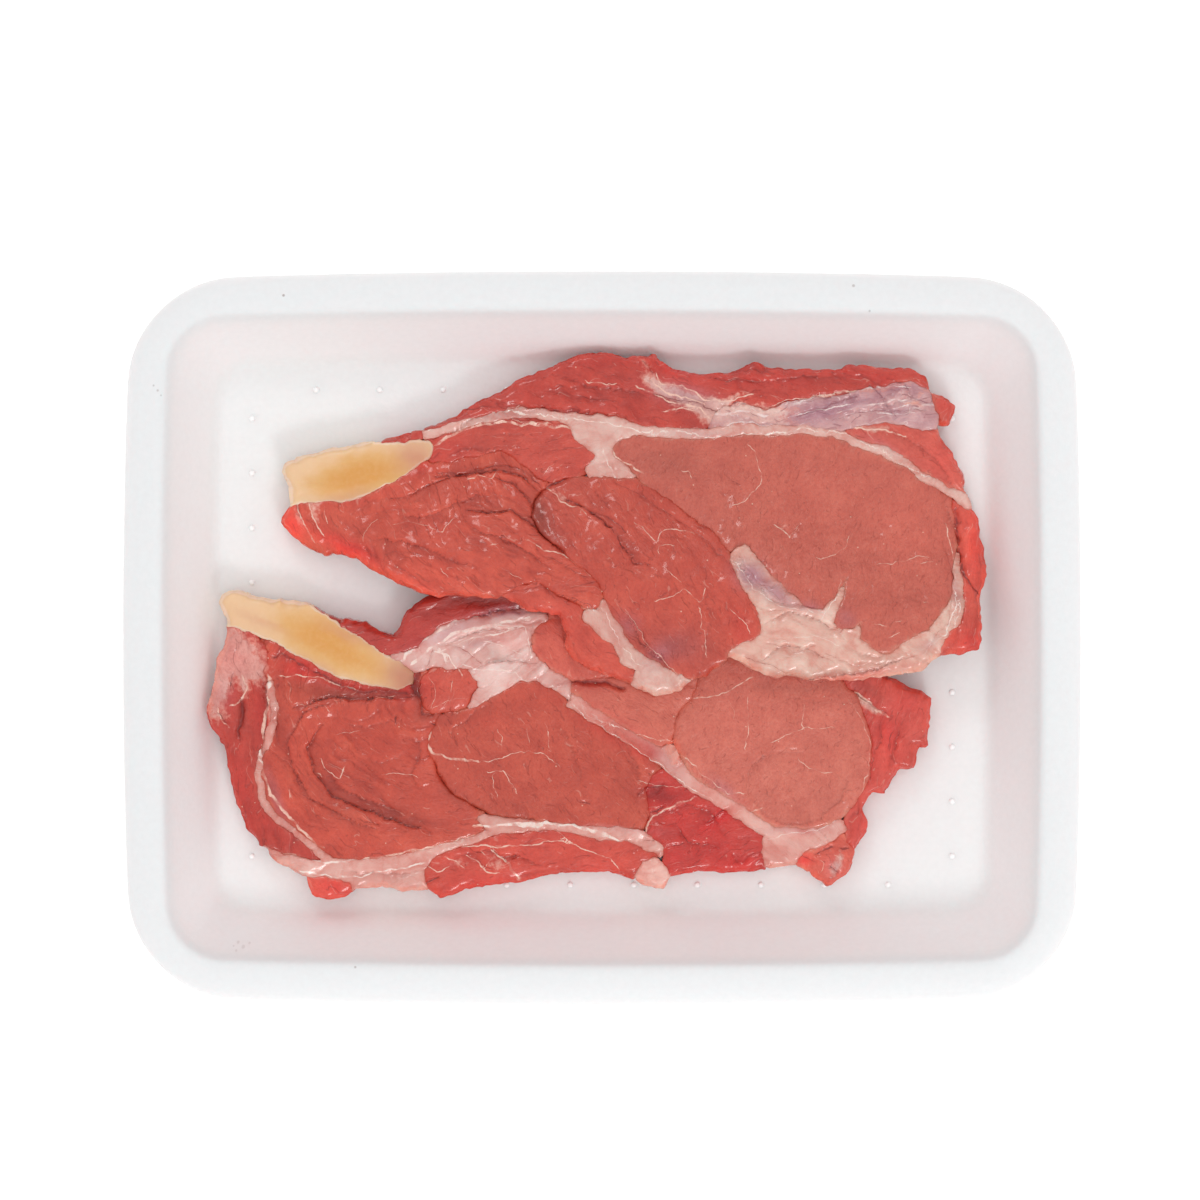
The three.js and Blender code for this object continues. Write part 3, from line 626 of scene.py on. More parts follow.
def raw_material(
    name, colour, deeper, paler, border, blush, vein, crease, hairs, mottled, gloss, soft, specks_and_glints=0.0, lobes=0, grit=1.0
):
    """Wet raw meat or fat: its mottling, its fibres, its drawn veins, its creases painted dark as shade, painted shade
    and highlight by height, and its blurred borders.
    """
    wetness = {
        "Subsurface Weight": soft, "Subsurface Radius": (0.0014, 0.0005, 0.0004), "Subsurface Scale": 1.0,
        "Specular IOR Level": 0.45, "Coat Weight": 0.5, "Coat Roughness": 0.14,
    }
    material = plain_material(name, colour, gloss, wetness)
    tree = material.node_tree
    place = object_place(tree)
    grain = reading(tree, "grain", "Vector")
    relief_shading = reading(tree, "relief_shading")

    patches = noise(tree, place, 170, 4.0, 0.55)
    fibres = noise(tree, grain, 1.0, 5.0, 0.68)
    flecks = noise(tree, grain, 2.7, 3.0, 0.6)
    fine = noise(tree, place, 1300, 3.0, 0.65)
    ragged = centred(tree, noise(tree, place, 650, 4.0, 0.6), 2.4)

    # Fat that lies in the lean, red places (rubbed red, and deep red as painted shade in gaps), lilac places, the
    # border, and the rim, lighter and redder there with a painted highlight.
    fatty = plus(tree, reading(tree, "fatty"), times(tree, ragged, 0.45))
    look = blended(tree, ramp(tree, fatty, 0.35, 0.65, 0.0, 0.85), colour, FATTY_EDGE)
    look = blended(tree, ramp(tree, fatty, 0.60, 0.85, 0.0, 0.8), look, FATTY_MIDDLE)
    # Deep red places: partly rubbed red, partly painted shade in gaps.
    look = blended(tree, reading(tree, "blush"), look, blush)
    look = blended(tree, reading(tree, "lilac"), look, LILAC)
    look = toned_and_shaded(tree, look)
    to_border = plus(tree, reading(tree, "border"), ragged)
    covered = sum_up(tree, "MAXIMUM", reading(tree, "fatty"), reading(tree, "blush"))
    bare = sum_up(tree, "SUBTRACT", 1.0, covered, True)
    look = blended(tree, times(tree, bare, ramp(tree, to_border, -0.2, 1.0, 0.7, 0.0)), look, border)
    # Lighter and redder towards the slice's cut rim: partly the cut edge's redder colour, partly a painted highlight on
    # its rounded edge.
    to_rim = plus(tree, reading(tree, "rim"), ragged)
    look = tinted(tree, ramp(tree, to_rim, 0.2, 1.4, 0.55, 0.0), look, (1.32, 1.12, 1.0))

    for field, low, high, start, end, tint in (
        (patches, 0.60, 0.34, 0.0, mottled, deeper),
        (patches, 0.50, 0.74, 0.0, mottled, paler),
        (fibres, 0.50, 0.32, 0.0, grit * (0.7 * mottled + 0.15), deeper),
        (fibres, 0.54, 0.70, 0.0, grit * 0.7 * mottled, paler),
        (fine, 0.36, 0.60, 0.45 * grit, 0.0, deeper),
        # Painted shade in the relief's low places and a painted highlight on its high ones.
        (relief_shading, -0.02, -0.4, 0.0, 0.9, deeper),
        (relief_shading, 0.05, 0.4, 0.0, 0.7, paler),
        (flecks, 0.62, 0.76, 0.0, hairs, paler),
        (flecks, 0.38, 0.26, 0.0, 0.6 * hairs, deeper),
    ):
        look = tinted(tree, ramp(tree, field, low, high, start, end), look, tint)
    if lobes:
        shift = add_node(tree, "ShaderNodeTexNoise")
        shift.inputs["Scale"].default_value = 420
        wobble = add_node(tree, "ShaderNodeVectorMath", operation="MULTIPLY_ADD")
        wobble.inputs[1].default_value = (0.003, 0.003, 0.003)
        tree.links.new(place, shift.inputs["Vector"])
        tree.links.new(shift.outputs["Color"], wobble.inputs[0])
        tree.links.new(place, wobble.inputs[2])
        cells = cells_of(tree, wobble.outputs[0], lobes, feature="DISTANCE_TO_EDGE")
        walls = ramp(tree, cells.outputs["Distance"], 0.0, 0.16, 0.5, 0.0)
        look = tinted(tree, times(tree, walls, ramp(tree, patches, 0.62, 0.40)), look, deeper)

    if hairs:
        threads = hairlines(tree, grain, 0.42, 0.014, 0.42)
        look = blended(tree, times(tree, threads, 0.7 * hairs), look, vein)
    # Fine cracks in the grain take the crease colour, a painted shade in them.
    cracks = hairlines(tree, grain, 0.5, 0.022, 0.44)
    look = blended(tree, times(tree, cracks, grit * (0.15 + 0.5 * hairs)), look, crease)

    wander = centred(tree, noise(tree, place, 520, 4.0), 0.9)
    broken = ramp(tree, noise(tree, place, 380, 3.0), 0.38, 0.58, 0.15, 1.0)
    veins = times(tree, drawn_line(tree, "vein", wander), broken)
    look = blended(tree, veins, look, vein)
    # Drawn creases are painted dark, a painted shade in their grooves.
    creases = times(tree, drawn_line(tree, "crease", wander), broken)
    look = blended(tree, times(tree, creases, 0.75), look, crease)

    # Pale specks: partly small flecks of fat, partly tiny painted glints.
    if specks_and_glints:
        cells = cells_of(tree, place, 620)
        chance = parts_of(tree, cells.outputs["Color"])[0]
        chosen = ramp(tree, chance, 1 - specks_and_glints, 1 - specks_and_glints + 0.01)
        dots = times(tree, chosen, ramp(tree, cells.outputs["Distance"], 0.04, 0.16, 1.0, 0.0))
        look = blended(tree, times(tree, dots, 0.75), look, PALE_SPECK_AND_GLINT)

    relief = times(tree, fibres, 1.3)
    for field, share in ((fine, 0.35), (flecks, 0.4), (veins, 0.1), (cracks, -0.35)):
        relief = plus(tree, relief, times(tree, field, share))
    finish_skin(tree, look, relief, 0.8 * grit, 0.0003)
    dull = ramp(tree, fibres, 0.3, 0.7, gloss + 0.08, gloss - 0.08)
    tree.links.new(dull, tree.nodes["Principled BSDF"].inputs["Roughness"])
    return material


def lean_material(name, colour, hairs):
    """Lean meat, with finer or coarser grain. Its wet skin adds a little white gloss to the red."""
    red, green, blue = colour[0] * 1.07, colour[1] * 0.83, colour[2] * 0.70
    return raw_material(
        name, (red, green, blue), deeper=(0.80, 0.66, 0.66), paler=(1.10, 1.32, 1.32),
        border=(red * 1.06, green * 1.8 + 0.02, blue * 1.8 + 0.02), blush=(red * 1.10, green * 0.40, blue * 0.46),
        vein=paint(236, 190, 172), crease=paint(124, 30, 26), hairs=hairs, mottled=0.3 + 0.5 * hairs,
        gloss=0.33, soft=0.1, specks_and_glints=0.05,
    )


def fat_material(name, colour, hairs):
    """Hard white fat: small pale lobes with pinker walls between them."""
    red, green, blue = colour
    return raw_material(
        name, (red * 1.04, green * 1.13, blue * 1.13), deeper=(0.93, 0.74, 0.72), paler=(1.08, 1.20, 1.23),
        border=(red * 0.94, green * 0.66, blue * 0.62), blush=paint(206, 96, 82), vein=paint(240, 216, 206),
        crease=paint(176, 96, 84), hairs=hairs, mottled=0.55, gloss=0.30, soft=0.25, lobes=300, grit=0.4,
    )


def cartilage_material(name, colour, hairs):
    """Firm translucent gristle: pale cream, amber where it is thickest, with a thin whitish skin, whose pale edge is
    partly a painted highlight.
    """
    softness = {"Subsurface Weight": 0.25, "Subsurface Radius": (0.003, 0.0018, 0.0009), "Subsurface Scale": 1.0}
    material = plain_material(name, colour, 0.34, softness)
    tree = material.node_tree
    place = object_place(tree)
    clouds = noise(tree, place, 230, 4.0)
    amber = plus(tree, reading(tree, "amber"), centred(tree, clouds, 0.3))
    look = blended(tree, ramp(tree, amber, 0.05, 0.6), paint(233, 194, 153), paint(224, 173, 110))
    look = blended(tree, ramp(tree, amber, 0.5, 1.0), look, paint(219, 157, 83))
    # A pale rim round the gristle: its whitish skin, and a painted highlight along its edge.
    edge = plus(tree, reading(tree, "own"), centred(tree, clouds, 0.6))
    look = blended(tree, ramp(tree, edge, 0.3, 0.75, 0.8, 0.0), look, paint(244, 214, 190))
    look = blended(tree, ramp(tree, noise(tree, place, 800, 3.0), 0.4, 0.7, 0.0, 0.06), look, paint(250, 224, 190))
    look = toned_and_shaded(tree, blended(tree, reading(tree, "blush"), look, paint(206, 140, 112)))
    finish_skin(tree, look, noise(tree, place, 900, 3.0), 0.3, 0.0001)
    return material


MATERIALS = {"lean_meat": lean_material, "fat": fat_material, "cartilage": cartilage_material}


def shape_slice_piece(node, spec, cut):
    """Carves one piece of a slice: its rounded rim, its sunk borders, its folds and its creases."""
    outlines, kind = cut["outlines"], spec["kind"]
    piece = flesh(node, "raw_" + node)
    points = points_of(piece)
    x, y, z = points.T.copy()
    flat = np.column_stack([x, y, np.zeros(len(x))])
    own = distance_to(x, y, outlines[node])
    to_rim = distance_to(x, y, cut["rim"])
    kin = [name for name, other in cut["pieces"].items() if other["kind"] == kind]
    to_kin = border_gap(x, y, node, kin, outlines)
    to_other = border_gap(x, y, node, [name for name in outlines if name not in kin], outlines)

    drift_x = mottle(flat + 40, 5.0, 1) * 0.4 + mottle(flat, 2.2, 2) * 0.4 + mottle(flat, 1.0, 12) * 0.26
    drift_y = mottle(flat + 90, 5.0, 3) * 0.4 + mottle(flat, 2.2, 4) * 0.4 + mottle(flat, 1.0, 14) * 0.26
    # A dark crease runs along each fold's step, a painted shade under it.
    fold_shade_lines = [(0.18, min(0.9, max(0.12, 1.6 * height - 0.35)), *line) for height, _, *line in cut["folds"]]
    creases = marks_near(x, y, cut["creases"] + fold_shade_lines, CREASE_REACH)
    move = closing_move(x, y, own, node, outlines, spec.get("closes", CLOSES))
    rise, shade = stepped(x, y, cut["folds"])

    # The grain runs in bundles, which stand up a little between their own fine folds.
    across, (slide_x, slide_y) = spec["grain"](x, y)
    bundles = mottle(np.column_stack([across + 0.6 * mottle(flat, 3.0, 15), x / 7, y / 7]), 2.4, 5)
    folds = np.exp(-((bundles / 0.16) ** 2)) * smoothstep(mottle(flat, 9.0, 16), -0.25, 0.35)
    lumps = spec.get("lumps", 0.07) * (mottle(flat, 2.9, 7) + 0.6 * mottle(flat, 1.4, 21))
    relief = spec.get("ridge", 0.12) * (bundles - 1.2 * folds) + lumps
    deep = np.exp(-((creases[:, 0] / np.maximum(creases[:, 2] * 1.2, 0.42)) ** 2)) * creases[:, 1]
    # How high or low each point stands, used only for painted shade and highlight.
    relief_shading = relief - 0.35 * deep + 0.5 * rise
    bulge = np.exp(-to_other / 1.2) * spec.get("lip", -0.3) - np.exp(-to_kin / 1.5)
    relief += spec.get("crown", 0.5) * bulge + rise - deep + 0.2 * mottle(flat, 6.5, 6)
    relief += daubed(x, y, cut["swells"])

    short = np.clip(ROUND_OVER - to_rim, 0, ROUND_OVER)
    drop = ROUND_OVER - np.sqrt(np.maximum(ROUND_OVER**2 - short**2, 0))
    top = cut["top"](x, y)
    grain = np.column_stack([across, slide_x, slide_y + z * 0.4])
    z = z + smoothstep(z, top - 6.0, top - 0.2) * (relief - drop * 0.8)
    wall = np.exp(-to_rim / 0.7) * (1 - smoothstep(z, top - 2.0, top))
    uneven = mottle(points, 3.0, 8) * 0.45 * wall
    for px, py, reach, push_x, push_y in spec.get("pulls", ()):
        pull = np.exp(-((x - px) ** 2 + (y - py) ** 2) / reach**2)
        move += np.column_stack([push_x * pull, push_y * pull])
    out = np.column_stack([x + move[:, 0] + drift_x + uneven, y + move[:, 1] + drift_y + uneven * 0.6, z])
    piece.data.vertices.foreach_set("co", (out * MM).ravel())
    piece.data.update()

    marbled = kind in ("lean_meat", "silverskin")
    attributes = {
        # The tone holds the flesh's own darker and lighter places, painted shade in hollows, and the folds' painted
        # shade and highlight.
        "tone": daubed(x, y, cut["tones"]) + shade,
        "relief_shading": relief_shading,
        "rim": np.minimum(to_rim, 6.0),
        "blush": np.clip(daubed(x, y, cut["blushes"]), 0, 1),
        "lilac": np.clip(daubed(x, y, cut["lilacs"]), 0, 1),
        "fatty": np.clip(daubed(x, y, cut["fatties"]), 0, 1.1) if marbled else x * 0,
        "border": np.minimum(to_other, 6.0),
        "own": own,
        "vein": marks_near(x, y, cut["veins"], VEIN_REACH),
        "crease": creases,
        "grain": grain,
    }
    if "ambers" in spec:
        attributes["amber"] = daubed(x, y, spec["ambers"])
    for name, values in attributes.items():
        store(piece, name, values)
    piece.data.materials.append(MATERIALS[kind](node + "_look", paint(*spec["colour"]), spec.get("hairs", 0.32)))
    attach(piece, "root")
    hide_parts(node)


def carve_slice(pieces, top, **marks):
    """Carves every piece of a slice, with the slice's own top, drawn lines, patches and folds."""
    outlines = {node: cut_edges(node) for node in pieces}
    cut = {"outlines": outlines, "rim": open_edges(outlines), "top": top, "pieces": pieces, **marks}
    for node, spec in pieces.items():
        shape_slice_piece(node, spec, cut)


def wavering(x, y):
    spots = np.column_stack([x, y, x * 0])
    wave_x = 1.6 * mottle(spots, 8.0, 17) + 0.6 * mottle(spots, 3.0, 19)
    wave_y = 1.6 * mottle(spots, 8.0, 18) + 0.6 * mottle(spots, 3.0, 20)
    return x + wave_x, y + wave_y


def straight(degrees, stretch=4.0):
    """Grain that runs one way."""
    turn = math.radians(degrees)

    def grain(x, y):
        x, y = wavering(x, y)
        return y * math.cos(turn) - x * math.sin(turn), (x / stretch, y / stretch)

    return grain


def swirling(centre_x, centre_y, squash, degrees, stretch=4.0):
    """Grain that runs in ovals round a centre."""
    turn = math.radians(degrees)

    def grain(x, y):
        x, y = wavering(x, y)
        along = (x - centre_x) * math.cos(turn) + (y - centre_y) * math.sin(turn)
        across = (y - centre_y) * math.cos(turn) - (x - centre_x) * math.sin(turn)
        return np.hypot(along, across * squash), (x / stretch, y / stretch)

    return grain


def piece_of(kind):
    """Describes pieces of a kind: their colour, the run of their grain, and what differs from the rest."""

    def describe(red, green, blue, grain, **more):
        return {"kind": kind, "colour": (red, green, blue), "grain": grain, **more}

    return describe


lean, fat, gristle = piece_of("lean_meat"), piece_of("fat"), piece_of("cartilage")
LOWER_PIECES = {
    "lower_cartilage": gristle(
        228, 172, 108, straight(-25), crown=0.2,
        ambers=[(-68, -1, 13, 5.5, -28, 1.05), (-56, -7.5, 6, 3, -20, 0.35)],
    ),
    "lower_left_muscle": lean(199, 85, 69, swirling(-46, -17, 1.25, -25), ridge=0.3, crown=0.4),
    "lower_rim_muscle": lean(190, 69, 59, straight(100), ridge=0.3),
    "lower_round_muscle": lean(206, 93, 79, straight(60, 2.4), crown=0.9),
    "lower_middle_muscle": lean(194, 88, 73, straight(-50, 2.6), ridge=0.16, hairs=0.3),
    "lower_small_muscle": lean(211, 108, 96, straight(-50)),
    "lower_wedge_muscle": lean(207, 118, 106, straight(-38), hairs=0.2, closes=6.0),
    "lower_eye_muscle": lean(206, 120, 109, straight(70, 1.6), ridge=0.06, hairs=0.1, closes=6.0),
    "lower_flap_muscle": lean(207, 88, 81, straight(-110), ridge=0.3, closes=6.0),
    "lower_curled_muscle": lean(222, 112, 98, swirling(55, -55, 1, 0), ridge=0.4),
    "lower_red_muscle": lean(197, 61, 55, straight(25), ridge=0.35),
    "lower_top_muscle": lean(183, 61, 55, straight(20), ridge=0.3),
    "lower_bottom_muscle": lean(205, 80, 68, straight(5), ridge=0.3),
    "lower_corner_scrap": lean(219, 92, 82, straight(-20), ridge=0.3),
    "lower_top_fat": fat(221, 176, 168, straight(25), ridge=0.35, lip=-0.1, lumps=0.2),
    "lower_seam_fat": fat(
        218, 158, 147, straight(-40), lip=-0.1, ridge=0.3, lumps=0.16, closes=6.0, pulls=[(17, -28.5, 2.6, 0.6, 1.9)]
    ),
    "lower_fat_blob": fat(230, 174, 162, straight(0), lip=0.1, ridge=0.2, lumps=0.2),
    "lower_band_fat": fat(218, 158, 147, straight(8), lip=-0.1, ridge=0.4, lumps=0.2),
}

# Thin white threads of fat in the cut face: half width, strength, then the points that each passes.
LOWER_VEINS = [
    (0.6, 0.8, (-81.8, -9.4), (-82.4, -16), (-84, -22), (-84.4, -30), (-81.8, -38), (-76.4, -45), (-70.4, -50.4)),
    (0.7, 0.7, (-77.8, -53), (-71.5, -55), (-63.2, -55.4), (-54.8, -54), (-46.5, -52), (-38, -50.4),
     (-31.8, -48.6)),
    (0.5, 0.6, (-74.7, -57.2), (-67.3, -58.6), (-59, -58.8), (-51.7, -57.2), (-44.4, -55.2)),
    (0.8, 0.7, (-31.8, -46.7), (-23.5, -46.2), (-15, -46.1), (-6, -46.6), (1, -48.4), (6, -50.6)),
    (0.16, 0.9, (-75, -16.7), (-70, -16.7), (-68.3, -17.1), (-67.5, -18.3)),
    (0.14, 0.7, (-65.3, -24.3), (-62, -23), (-60, -22.5)),
    (0.16, 0.9, (-69.3, -30.3), (-67.3, -33.3), (-64.7, -35.1), (-63.8, -32.3)),
    (0.4, 0.6, (-69.8, -33.6), (-69.2, -34.2)), (0.3, 0.7, (-77, -38), (-77, -39.5)),
    (0.14, 0.6, (-54, -33.5), (-49.3, -33.3), (-45.3, -33.9)),
    (0.55, 0.75, (-42, -23.6), (-42.8, -26), (-41.6, -28.4), (-37, -30), (-33, -30.4), (-30.5, -30.6)),
    (0.16, 0.9, (-29, -30.3), (-25, -29.7), (-22, -28.8), (-18, -28), (-14.5, -28.3), (-12, -30), (-10.7, -31.3)),
    (0.13, 0.7, (-26, -23), (-24.5, -24.5), (-24.7, -27.7)), (0.13, 0.6, (-18.3, -22.7), (-18.5, -25.7)),
    (0.22, 0.8, (-12.9, -23.3), (-12.7, -27.3)),
    (0.16, 0.8, (-28.3, -32.9), (-24.5, -33), (-22.5, -35.7), (-21.3, -38.3)),
    (0.13, 0.7, (-27, -34), (-26.5, -36.5), (-26, -39)), (0.14, 0.7, (-42, -9.5), (-41, -13), (-41.8, -17)),
    (0.14, 0.6, (-37, -10), (-37.5, -13)), (0.14, 0.7, (-41.5, -17), (-38, -15.5), (-34.5, -14.8)),
    (0.2, 0.9, (21.3, -16), (27.3, -14.3), (32, -13), (35, -10.7), (37, -10)),
    (0.12, 0.4, (31.3, -15.3), (33, -18), (32.5, -20)), (0.14, 0.7, (36.2, -15), (36, -22.3), (35.3, -27)),
    (0.14, 0.8, (49.7, -16), (49.3, -22.7), (45.7, -23.7), (42, -25.8)),
    (0.12, 0.7, (49.5, -22.7), (53, -22.3), (57, -22.1)),
    (0.14, 0.7, (48, -30.3), (50.5, -32.5), (53.7, -33.1), (56.3, -33.3)),
    (0.18, 0.5, (60.5, -15), (64, -20), (65.6, -26), (65.4, -32), (63, -39), (59, -45.5)),
    (0.32, 0.8, (11, -47.5), (12.5, -44.5), (15.5, -42), (20, -40.7), (23, -39.5)),
    (0.3, 0.7, (-38, -52), (-25, -51.6), (-15, -50.8), (-10, -50.3), (-3, -52.7), (2, -54.3), (4, -57)),
    (0.2, 0.7, (-12, -47.5), (-9.5, -49.5), (-7, -51.3)),
    (0.55, 0.8, (-26.8, -52.8), (-24, -54.4), (-22.4, -57), (-20.6, -58.8)),
    (0.35, 0.7, (-33.5, -54), (-30.5, -55.6), (-28.5, -57.6), (-25.5, -57.8)),
    (0.35, 0.6, (-38.5, -54.2), (-36, -55.2), (-34, -57)),
    (0.3, 0.6, (-29.5, -52.9), (-27.5, -54.8), (-28.3, -56.2)),
    (0.3, 0.6, (-43, -56), (-40.5, -57.5), (-38, -56.6)), (1.3, 0.9, (62.4, -13.4), (66, -16.4), (68, -18)),
    (0.7, 0.8, (66, -16.4), (70.4, -19.6)),
    (0.3, 0.6, (-79.5, -9.8), (-75, -9.4), (-70, -9.9), (-65, -11.8), (-61, -13)),
    (0.6, 0.6, (-88.6, -9.5), (-87.6, -12), (-88.6, -15), (-91.6, -16.5)),
    (0.5, 0.5, (-94.5, -17.5), (-93.8, -20.5), (-92, -22)),
    (0.16, 0.5, (-50.8, -14.3), (-53.5, -15), (-55.5, -15.6)), (0.35, 0.7, (-40, -3), (-38.6, -5.8)),
    (0.22, 0.7, (-30, 1.2), (-26, 2.2), (-19, 2.6), (-17.6, -5.2)),
    (0.22, 0.6, (-29, -1.2), (-24, -1.8), (-19, -4.4)),
    (0.7, 0.7, (-49, -6), (-45, -2.4), (-41.5, 0.8), (-36, 3.6), (-30, 5)),
    (0.9, 0.85, (-46.4, -6.4), (-42.3, -2.6), (-37, 0.6), (-31, 2.2), (-25, 3.4), (-18, 5)),
    (0.4, 0.7, (-40, -3.6), (-33, -0.8), (-27, 0.6), (-20, 2.4)), (0.5, 0.6, (-41, -3.6), (-38, -4.8), (-34.6, -9)),
    (0.25, 0.7, (-34, -6.5), (-29, -8), (-22, -8.6), (-20, -10.4), (-12, -11.6)),
    (0.2, 0.6, (-8, -15.4), (-4, -19), (3, -21.8), (12, -24.4), (17, -25.5)),
    (0.2, 0.6, (0, -21.5), (10, -28), (19, -34.5), (27, -39.5)),
    (0.25, 0.6, (20, -29), (26, -34), (31, -38), (34.8, -38)), (0.35, 0.6, (36, -42.5), (39.5, -42)),
    (0.2, 0.5, (41, -50.4), (47, -48.6), (54, -47.4), (58.5, -44.8)), (0.25, 0.5, (9, -35), (13, -36.5), (20, -37)),
    (0.3, 0.4, (52.5, -54), (54.5, -55.5), (54, -57.5)), (0.3, 0.4, (57, -53.6), (59, -54.5), (58.4, -57)),
]
# Folds and cracks, sunk and painted dark red as painted shade, among them the shadow line under the upper slice's edge:
# half width, depth, then their points.
LOWER_SHADED_CREASES = [
    (0.5, 1, (-41.4, -30.5), (-40.4, -33), (-38, -37), (-33.3, -40.3), (-27.3, -43.6), (-21.3, -44.5),
     (-17, -44.7)),
    (0.55, 1, (-7, -11.2), (-3.5, -11.6), (1, -11.5), (5.5, -12.3)),
    (0.35, 0.8, (8.2, -11.2), (10, -12.6), (13, -13.8)),
    (0.45, 1, (-44.4, -8.2), (-46.4, -12), (-45, -15.4), (-44.6, -18.9), (-42, -19.3)),
    (0.35, 0.8, (-81, -5), (-79, -4.2), (-74, -7), (-66, -11.2), (-60, -13.6), (-54, -13.9), (-48, -13.7)),
    (0.25, 0.5, (-76.4, -33), (-73.6, -38.5), (-68, -42), (-62, -44.8), (-55, -46)),
    (0.2, 0.35, (-74.6, -24), (-75, -29), (-72.6, -34.6), (-68.5, -38)),
    (0.2, 0.3, (-72, -20.5), (-66, -19.4), (-60, -20.6), (-54.6, -18.4)),
    (0.2, 0.25, (-66, -40.4), (-59, -42.4), (-50, -43.8)), (0.15, 0.3, (-50, -35), (-45, -36.8), (-42.5, -36)),
    (0.14, 0.3, (36.5, -16.2), (39, -17), (40.3, -17.5)),
    (0.14, 0.35, (35.5, -38.5), (35.7, -34.5), (36.5, -31.5), (39, -30), (42, -28.5), (48, -28)),
    (0.35, 0.7, (-51, -19.8), (-51, -21)), (0.35, 0.7, (-42, -21.3), (-41.2, -21.8)),
    (0.25, 0.5, (-38, -20.8), (-37.4, -21.6)), (0.7, 1, (-88.6, -15.6), (-88.7, -18.5), (-89.3, -21), (-89.6, -24)),
    (0.35, 0.6, (-91, -9.4), (-92, -13)), (0.4, 0.6, (-94.2, -19), (-92.6, -21)),
    (0.3, 0.6, (-80.4, -20.4), (-80, -26)), (0.3, 0.5, (-41.5, -3), (-43.5, -7.5)),
    (0.35, 0.5, (-40, -1.9), (-36.6, -2), (-33, -3.6), (-30, -6)), (0.3, 0.6, (-49, -7.5), (-46.5, -8.6)),
    (0.3, 0.6, (8.6, -38.6), (10.4, -37), (15, -36.6)), (0.45, 0.8, (10.2, -46.6), (12, -43.6), (15, -41.4)),
    (0.3, 0.5, (20, -50.4), (16, -51.6)), (0.3, 0.7, (10.6, -49.6), (12.4, -50.1)),
    (0.4, 0.5, (25.6, -45.6), (29, -43.4), (31.4, -42)), (0.3, 0.7, (61.8, -12.8), (66, -16.4), (70, -18.8)),
    (0.3, 0.5, (71.8, -22.6), (71, -25), (70.6, -27.4)), (0.3, 0.4, (66.6, -25), (67.4, -30), (66.4, -35)),
    (0.3, 0.7, (53, -53.2), (56.5, -51.9), (60, -52.2)), (0.3, 0.6, (56, -56), (58, -57.6)),
    (0.25, 0.5, (50, -54), (52.4, -55.4)), (0.3, 0.7, (-43.6, -60.2), (-41, -59.4)),
    (0.3, 0.6, (-30, -48.2), (-27.5, -47.8)), (0.35, 0.7, (-18, -45.4), (-16.5, -45)),
    (0.3, 0.6, (-4.5, -40.4), (-3.3, -40.8)), (0.2, 0.3, (-4, -18.8), (-2.4, -24), (-3, -30), (-2, -32.4)),
    (0.2, 0.35, (-1.5, -19.4), (3, -25), (8, -32), (9.4, -36)), (0.2, 0.4, (2, -21), (10, -27), (18, -33.6)),
    (0.25, 0.5, (-26.8, -52.4), (-24.6, -53.6), (-22.6, -56)),
    (0.25, 0.5, (-31, -54.6), (-28.6, -56.8), (-26.6, -56.8)), (0.2, 0.3, (18.6, -18.4), (17.6, -21), (18.4, -24)),
    (0.25, 0.5, (-17.4, 3), (-18, 0), (-17.6, -4.4)), (0.25, 0.6, (-15, 6.4), (-22, 6.4), (-28, 5)),
    (0.18, 0.4, (-15, 4.6), (-19, 3.4), (-25, 3.4)),
]
# Soft oval patches, each (x, y, length, width, angle in degrees, amount): darker and lighter places, partly the flesh's
# own tone and partly painted shade in hollows, in gaps and under the upper slice's edge,
LOWER_TONES_AND_SHADES = [
    (-91, -5, 7, 6, -30, 0.14), (28, -38, 12, 3, -42, 0.08), (47, -49, 8, 2, 10, 0.06),
    (-45.4, -14, 1.4, 5, 0, -0.4), (-42, -19.6, 3.4, 1, 0, -0.3), (-50, -13.8, 5, 0.9, 0, -0.25),
    (-38, -37.6, 5, 1.4, -50, -0.2), (-50, -9, 4, 3, -30, -0.08), (15, -39.2, 5, 2.4, -10, -0.25),
    (70, -30, 3, 5, 0, 0.14), (56, -55, 4, 3, 0, 0.1), (-28, -20.6, 5, 2.4, 0, 0.12), (-45, -2, 2, 2, 0, 0.05),
    (-67, -13.2, 13, 2.4, -8, -0.26), (-72, -7.6, 6, 1.6, -22, -0.06), (-60, -36, 13, 6, -25, -0.08),
    (-66, -41, 10, 2.2, -38, -0.16), (-50, -43.8, 9, 2.4, -12, -0.12), (-60, -50, 15, 2.6, -8, 0.08),
    (-77, -40, 2, 8, 30, 0.06), (-79.6, -19, 1.8, 6, 0, -0.2), (-82, -36, 1.6, 8, 12, -0.12),
    (-28, 9, 11, 2.2, -4, -0.34), (-40, 7, 5, 2.4, 30, -0.1), (-46, 3, 3, 3, 0, 0.05), (-46, -12, 2, 3, 0, -0.3),
    (-4, -11.6, 6, 1.2, -3, -0.3), (-15, -14, 6, 2.6, 0, 0.05), (-30, -42, 9, 2, -20, -0.14),
    (-18, -42, 8, 2.6, 0, -0.06), (-88.6, -19, 1.4, 4, 8, -0.3), (15, -38.4, 4.6, 2, -10, -0.2),
    (28, -45, 4, 1.4, 35, -0.08), (22, -53, 7, 2.4, 0, -0.1), (72, -24, 3, 4, 20, -0.08),
    (66, -13, 5, 1.6, -35, -0.22), (50, -12.4, 16, 1, 0, -0.14), (6, -37, 4, 8, 20, -0.05),
    (33, -20, 8, 8, 0, 0.03), (50, -38, 9, 6, 0, -0.02), (-12, 1, 4, 3, 0, 0.04), (-23, -1.4, 5, 3, -10, 0.1),
    (-26, -5, 5, 1.8, -35, -0.12), (-25, -11, 6, 3, -40, 0.08), (-36, 1, 10, 1.6, 22, 0.08),
    (3, -13.5, 5, 2, -20, 0.06),
]
